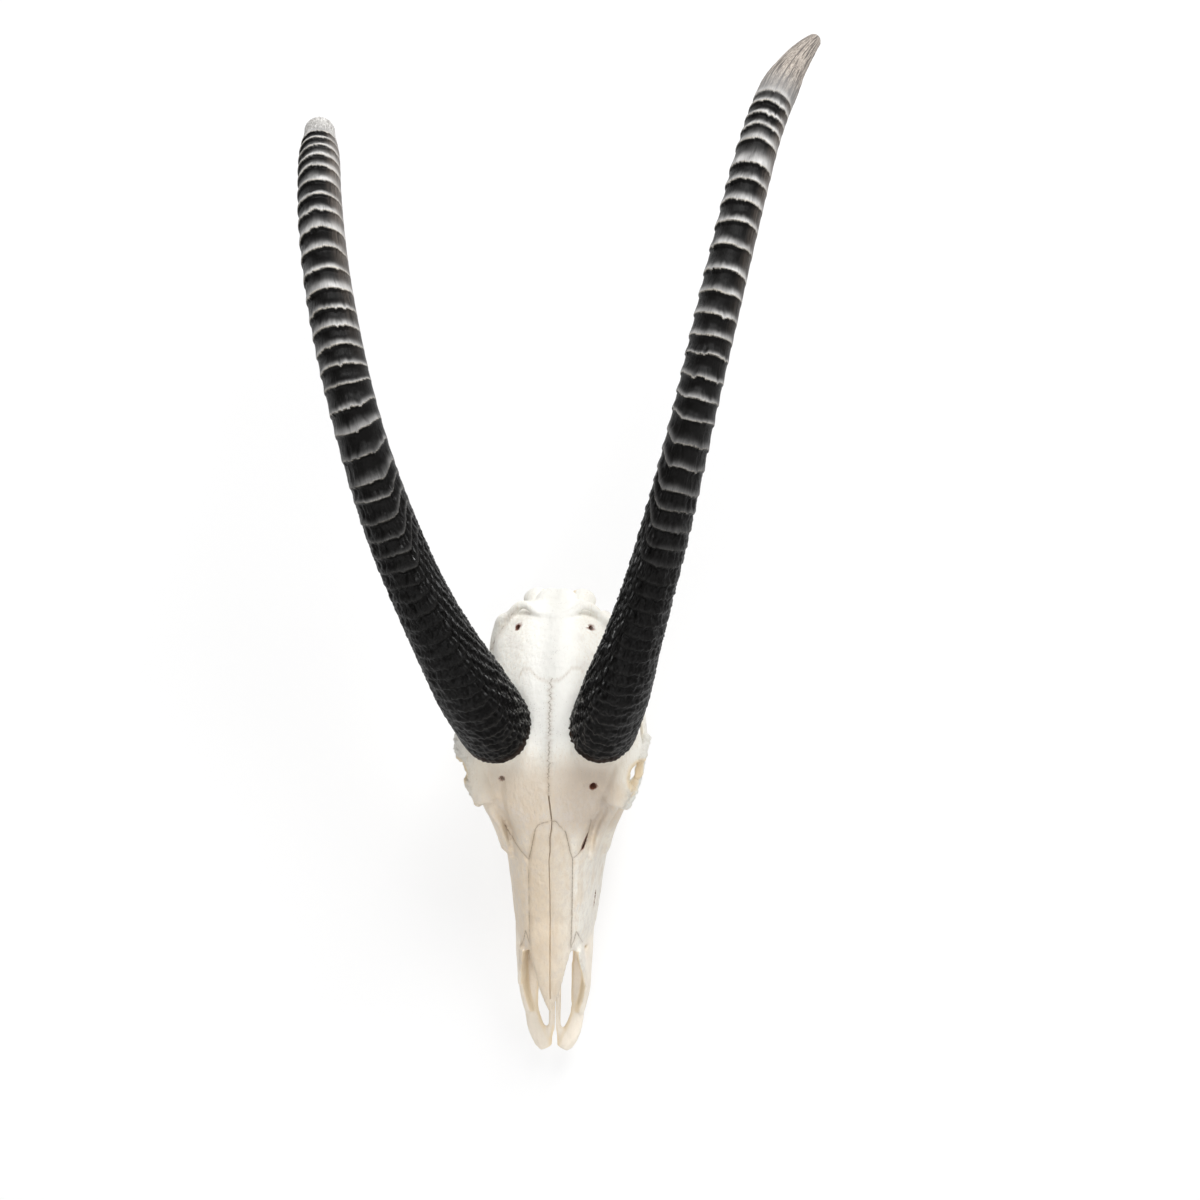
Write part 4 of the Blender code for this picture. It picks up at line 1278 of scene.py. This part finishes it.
# Painted shade: the left half of the face is darkened as if the light came from the right, and warmed in
# tone.
shaded_left_face = net.math("MULTIPLY", net.step(x, 8, -16), net.step(y, 275, 240))
colour = net.mix(net.math("MULTIPLY", shaded_left_face, 0.3), colour, WARM)
dapples = net.step(net.cloud(net.stretch(ruler, (0.22, 0.14, 0.2)), 1.0, 4.0, 0.65), 0.45, 0.62)
colour = net.mix(net.math("MULTIPLY", dapples, net.math("MULTIPLY", face, 0.4)), colour, ASH)
veined = net.math("MULTIPLY", net.step(veins, 0.5, 0.66), 0.4)
colour = net.mix(net.math("MULTIPLY", face, veined), colour, WARM)
# Painted light: the nape is whitened for the bright light on it, on top of its bleaching.
colour = net.mix(net.math("MULTIPLY", nape, 0.9), colour, CHALK)
colour = net.mix(net.math("MULTIPLY", net.step(fibres["Streaks"], 0.48, 0.68), 0.3), colour, WARM)
specks = net.step(net.cloud(ruler, 0.55, 3.0, 0.7), 0.62, 0.7)
colour = net.mix(net.math("MULTIPLY", specks, net.math("MULTIPLY_ADD", crust, 0.3, 0.3)), colour, SOIL)
greyed = net.step(net.cloud(net.stretch(ruler, (0.05, 0.05, 0.05), (2, 0, 0)), 1.0, 2.0), 0.5, 0.68)
colour = net.mix(net.math("MULTIPLY", nape, net.math("MULTIPLY", greyed, 0.3)), colour, ASH)
colour = net.mix(net.math("MULTIPLY", crust, 0.5), colour, CHALK)
nasals = net.math("MULTIPLY", net.step(off_middle, 20, 16), net.step(y, 216, 204))
colour = net.mix(net.math("MULTIPLY", nasals, net.math("MULTIPLY_ADD", right, -0.12, 0.38)), colour, BUFF)
# Painted light: the sloping tops of the muzzle tips are lightened where the lamps reach them less.
lit_premaxillae = net.math("MULTIPLY", net.step(y, 120, 100), net.step(z, 88, 66))
colour = net.mix(net.math("MULTIPLY", lit_premaxillae, 0.8), colour, IVORY)
# Painted light: a near white laid over the shade that the horns cast between them.
between = net.math("MULTIPLY", net.step(off_middle, 30, 12), net.step(y, 272, 300))
colour = net.mix(net.math("MULTIPLY", between, 0.85), colour, SNOW)
print("tones laid on", bone_look.name)

# %% [markdown]
# Last on the bone come the places that light hardly reaches, the pits and the seams, because they
# are dark over any tone. The same masks also lower the bump, so that a dark line is a groove too.

# %% Hollows, seams and relief of the bone
inside = net.mix(net.step(y, 215, 235), TAN, STRAW)
by_socket = net.math("MULTIPLY", net.step(y, 226, 234), net.step(y, 290, 270))
low_rim = net.math("MULTIPLY", net.step(z, 128, 118), by_socket)
low_rim = net.math("MULTIPLY", low_rim, net.step(off_middle, 58, 64))
colour = net.mix(low_rim, colour, net.mix(right, STRAW, CHALK))
colour = net.mix(net.math("MULTIPLY", hollow, 0.85), colour, inside)
inward = net.math("MULTIPLY", facing["X"], net.math("SIGN", x))
lip_wall = net.math("MULTIPLY", net.step(inward, -0.2, -0.6), net.step(y, 128, 116))
colour = net.mix(net.math("MULTIPLY", lip_wall, 0.7), colour, STRAW)
colour = net.mix(net.math("MULTIPLY", pits, 0.55), colour, STAIN)
colour = net.mix(net.math("MULTIPLY", shades, 0.2), colour, SOIL)
colour = net.mix(net.math("MULTIPLY", seams, 0.62), colour, GROOVE)
# The walls of the small holes are painted dark red: partly stain, partly painted shade in the hole.
deep = net.node("Attribute", attribute_name="deep").outputs["Fac"]
colour = net.mix(net.math("MULTIPLY", deep, 0.92), colour, RED_STAIN_AND_SHADE)
net.tree.links.new(colour, shader.inputs["Base Color"])
net.tree.links.new(net.math("MULTIPLY_ADD", clouds["Streaks"], 0.25, 0.42), shader.inputs["Roughness"])
height = net.math("MULTIPLY", fibres["Streaks"], 0.22)
crumble = net.math("MULTIPLY_ADD", crust, 1.9, 0.35)
height = net.math("MULTIPLY_ADD", net.cloud(ruler, 1.3, 4.0, 0.7), crumble, height)
height = net.math("MULTIPLY_ADD", net.cloud(net.stretch(ruler, (0.3, 0.16, 0.3)), 1.0, 3.0), 1.6, height)
height = net.math("SUBTRACT", height, net.math("MULTIPLY", pits, 0.6))
height = net.math("SUBTRACT", height, net.math("MULTIPLY", seams, 0.8))
bump = net.node("Bump", {"Strength": 0.7, "Distance": MM, "Height": height})
net.tree.links.new(bump.outputs[0], shader.inputs["Normal"])
bone.data.materials.append(bone_look)
print(bone_look.name, "has", len(bone_look.node_tree.nodes), "nodes")

# %% [markdown]
# Horn is black where it is fresh. The swell just above each step is painted grey, mostly as the sheen
# of light on it and partly as rubbing, so the grey follows the rings, is strong towards the tips and
# fades towards the base. The step's edge is painted pale, a painted highlight over a little fraying,
# and the grooves stay black and show the lengthwise fibres. Both horns take the same group, with
# their own values.

# %% Finish of the horns
FRESH_BLACK = (0.0012, 0.0012, 0.0012, 1)
FIBRE_BLACK = (0.008, 0.0068, 0.006, 1)
SHEEN_AND_RUB_GREY = (0.66, 0.65, 0.64, 1)
POLISHED_BROWN = (0.24, 0.20, 0.17, 1)
FRAYED_EDGE_HIGHLIGHT = (0.62, 0.57, 0.49, 1)

horn_group, net, given, out = new_group(
    "ring_wear_and_sheen",
    [("Strand", "Vector", None), ("Pale", "Float", 0.0), ("Ridge", "Float", 0.0), ("Polished", "Float", 0.0),
     ("Tip start", "Float", 600.0), ("Streaky", "Float", 0.3),
     ("Grey from", "Float", 150.0), ("Grey to", "Float", 560.0), ("Tip colour", "Color", (0.5, 0.5, 0.5, 1))],
    [("Colour", "Color"), ("Rough", "Float"), ("Height", "Float")])
strand_parts = net.node("SeparateXYZ", (given["Strand"],)).outputs
along = strand_parts["Z"]
fibre = place_group(net, grain_group, {"Place": given["Strand"], "Along": (1, 1, 0.06), "Size": 0.75})
fine = net.cloud(net.stretch(given["Strand"], (1, 1, 0.15)), 1.6, 3.0, 0.7)
age = net.step(along, given["Grey from"], given["Grey to"])
patch = net.cloud(net.stretch(given["Strand"], (0.35, 0.35, 0.35)), 0.11, 2.0)
# Painted sheen: the grey on each swell stands for light on it, and partly for rubbing.
swell = net.math("POWER", given["Pale"], net.math("MULTIPLY_ADD", age, -11.4, 14.0))
sheen_and_rub = net.math("MULTIPLY", swell, net.math("MULTIPLY_ADD", net.step(along, 150.0, 420.0), 1.0, 0.01))
grain = net.math("ADD", fibre["Streaks"], net.math("MULTIPLY", fine, 0.5))
sheen_and_rub = net.math("MULTIPLY", sheen_and_rub, net.step(grain, 0.1, 0.9))
sheen_and_rub = net.math("MULTIPLY", sheen_and_rub, net.math("MULTIPLY_ADD", net.step(patch, 0.3, 0.7), 0.7, 0.5))
black = net.mix(net.math("MULTIPLY", fibre["Streaks"], 0.5), FRESH_BLACK, FIBRE_BLACK)
colour = net.mix(sheen_and_rub, black, SHEEN_AND_RUB_GREY)
strip = net.math("MULTIPLY", given["Polished"], net.step(fibre["Streaks"], 0.2, 0.75))
strip = net.math("MULTIPLY", strip, net.math("MULTIPLY_ADD", age, 0.5, 0.15))
colour = net.mix(strip, colour, POLISHED_BROWN)
# Painted highlight: the crest edge is painted pale, over a little real fraying.
frayed_highlight = net.math("MULTIPLY", net.step(given["Ridge"], 0.35, 0.9), net.step(fine, 0.38, 0.62))
frayed_highlight = net.math("MULTIPLY", frayed_highlight, net.math("MULTIPLY_ADD", net.step(along, 160.0, 400.0), 0.9, 0.01))
colour = net.mix(frayed_highlight, colour, FRAYED_EDGE_HIGHLIGHT)
tip = net.step(net.math("SUBTRACT", along, given["Tip start"]), -6.0, 6.0)
mottle = net.math("MULTIPLY", net.step(net.math("MULTIPLY_ADD", fibre["Streaks"], 0.5, fine), 0.6, 0.9), 0.8)
tip_look = net.mix(mottle, given["Tip colour"], (0.12, 0.10, 0.09, 1))
streaks = net.step(net.cloud(net.stretch(given["Strand"], (0.45, 0.45, 0.035)), 1.0, 3.0), 0.47, 0.62)
tip_look = net.mix(net.math("MULTIPLY", streaks, given["Streaky"]), tip_look, (0.13, 0.115, 0.105, 1))
past_rings = net.math("SUBTRACT", along, given["Tip start"])
collar = net.math("MULTIPLY", net.step(past_rings, 34.0, 2.0), given["Streaky"])
tip_look = net.mix(net.math("MULTIPLY", collar, 0.7), tip_look, (0.27, 0.27, 0.27, 1))
colour = net.mix(tip, colour, tip_look)
rim = net.math("MULTIPLY", net.step(along, 7.0, 0.0), net.step(patch, 0.35, 0.6))
colour = net.mix(net.math("MULTIPLY", rim, 0.6), colour, (0.06, 0.034, 0.022, 1))
net.tree.links.new(colour, out["Colour"])
net.tree.links.new(net.math("MULTIPLY_ADD", net.math("MAXIMUM", sheen_and_rub, tip), 0.25, 0.36), out["Rough"])
height = net.math("ADD", net.math("MULTIPLY", fibre["Streaks"], 0.9), net.math("MULTIPLY", fine, 0.35))
net.tree.links.new(height, out["Height"])
print(horn_group.name, "has", len(horn_group.nodes), "nodes")

# %% [markdown]
# Near the base the beads have a worn shine over the black. A coat of gloss follows that mask, while
# the plain reflection below it is one low value all over.

# %% The two sheaths
HORN_LOOKS = {
    "horn_left": {"Tip start": 588.0, "Streaky": 0.3, "Grey from": 230.0, "Grey to": 520.0,
                  "Tip colour": (0.88, 0.87, 0.84, 1)},
    "horn_right": {"Tip start": 562.0, "Streaky": 0.95, "Grey from": 230.0, "Grey to": 560.0,
                   "Tip colour": (0.62, 0.55, 0.48, 1)},
}
for name, values in HORN_LOOKS.items():
    look, net, shader = new_material(name + "_sheath")
    strand = net.node("Attribute", attribute_name="strand").outputs["Vector"]
    pale = net.node("Attribute", attribute_name="pale").outputs["Fac"]
    ridge = net.node("Attribute", attribute_name="ridge").outputs["Fac"]
    polished = net.node("Attribute", attribute_name="polished").outputs["Fac"]
    worn = place_group(net, horn_group, {
        "Strand": strand, "Pale": pale, "Ridge": ridge, "Polished": polished, **values})
    shine = net.node("Attribute", attribute_name="shine").outputs["Fac"]
    shader.inputs["Specular IOR Level"].default_value = 0.12
    shader.inputs["Coat IOR"].default_value = 2.0
    shader.inputs["Coat Roughness"].default_value = 0.25
    net.tree.links.new(shine, shader.inputs["Coat Weight"])
    net.tree.links.new(worn["Colour"], shader.inputs["Base Color"])
    rough = net.math("SUBTRACT", worn["Rough"], net.math("MULTIPLY", shine, 0.16))
    net.tree.links.new(rough, shader.inputs["Roughness"])
    bump = net.node("Bump", {"Strength": 0.8, "Distance": 0.6 * MM, "Height": worn["Height"]})
    net.tree.links.new(bump.outputs[0], shader.inputs["Normal"])
    sheaths[name].data.materials.append(look)
    print(look.name, "has", len(look.node_tree.nodes), "nodes")

# %% [markdown]
# Enamel is glassy ivory with brown stain low on the crown and in fine upright cracks.

# %% Finish of the teeth
enamel, net, shader = new_material("stained_enamel")
ruler = net.stretch(net.node("TexCoord").outputs["Object"], (1 / MM,) * 3, tuple(-v / MM for v in ORIGIN))
streaks = place_group(net, grain_group, {"Place": ruler, "Along": (1, 1, 0.12), "Size": 0.7})
pits = place_group(net, pit_group, {"Place": ruler, "Size": 1.1, "Amount": 0.7})["Pits"]
height_on = net.node("SeparateXYZ", (ruler,)).outputs["Z"]
worn_face = net.step(height_on, 1.4, 0.3)
colour = net.mix(net.step(streaks["Streaks"], 0.42, 0.66), (0.80, 0.70, 0.52, 1), (0.50, 0.36, 0.20, 1))
stained = net.math("MULTIPLY", net.step(streaks["Clouds"], 0.5, 0.7), 0.5)
colour = net.mix(stained, colour, (0.30, 0.19, 0.10, 1))
colour = net.mix(net.math("MULTIPLY", worn_face, 0.5), colour, (0.86, 0.79, 0.62, 1))
colour = net.mix(net.math("MULTIPLY", pits, 0.6), colour, (0.10, 0.06, 0.03, 1))
net.tree.links.new(colour, shader.inputs["Base Color"])
net.tree.links.new(net.math("MULTIPLY_ADD", streaks["Streaks"], 0.3, 0.15), shader.inputs["Roughness"])
bump = net.node("Bump", {"Strength": 0.5, "Distance": 0.5 * MM, "Height": streaks["Streaks"]})
net.tree.links.new(bump.outputs[0], shader.inputs["Normal"])
for tooth in teeth.values():
    tooth.data.materials.append(enamel)
    bpy.ops.object.select_all(action="DESELECT")
    tooth.select_set(True)
    bpy.context.view_layer.objects.active = tooth
    bpy.ops.object.shade_smooth_by_angle(angle=math.radians(40))
print(enamel.name, "on", len(teeth), "teeth")

# %% [markdown]
# Last, every piece is put on the body that it rides on, and the imported node that it replaces is
# hidden. Nothing on a skull moves, so all ride on one body.

# %% Put the pieces on their body and hide the imported parts
pieces = {"skull": (bone, "bone"), **{name: (obj, "horn") for name, obj in sheaths.items()},
          **{name: (obj, "tooth") for name, obj in teeth.items()}}
for node, (piece, slot) in pieces.items():
    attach(piece, "root")
    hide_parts(node)
print(len(pieces), "pieces with", sum(len(p.data.polygons) for p, _ in pieces.values()), "faces")
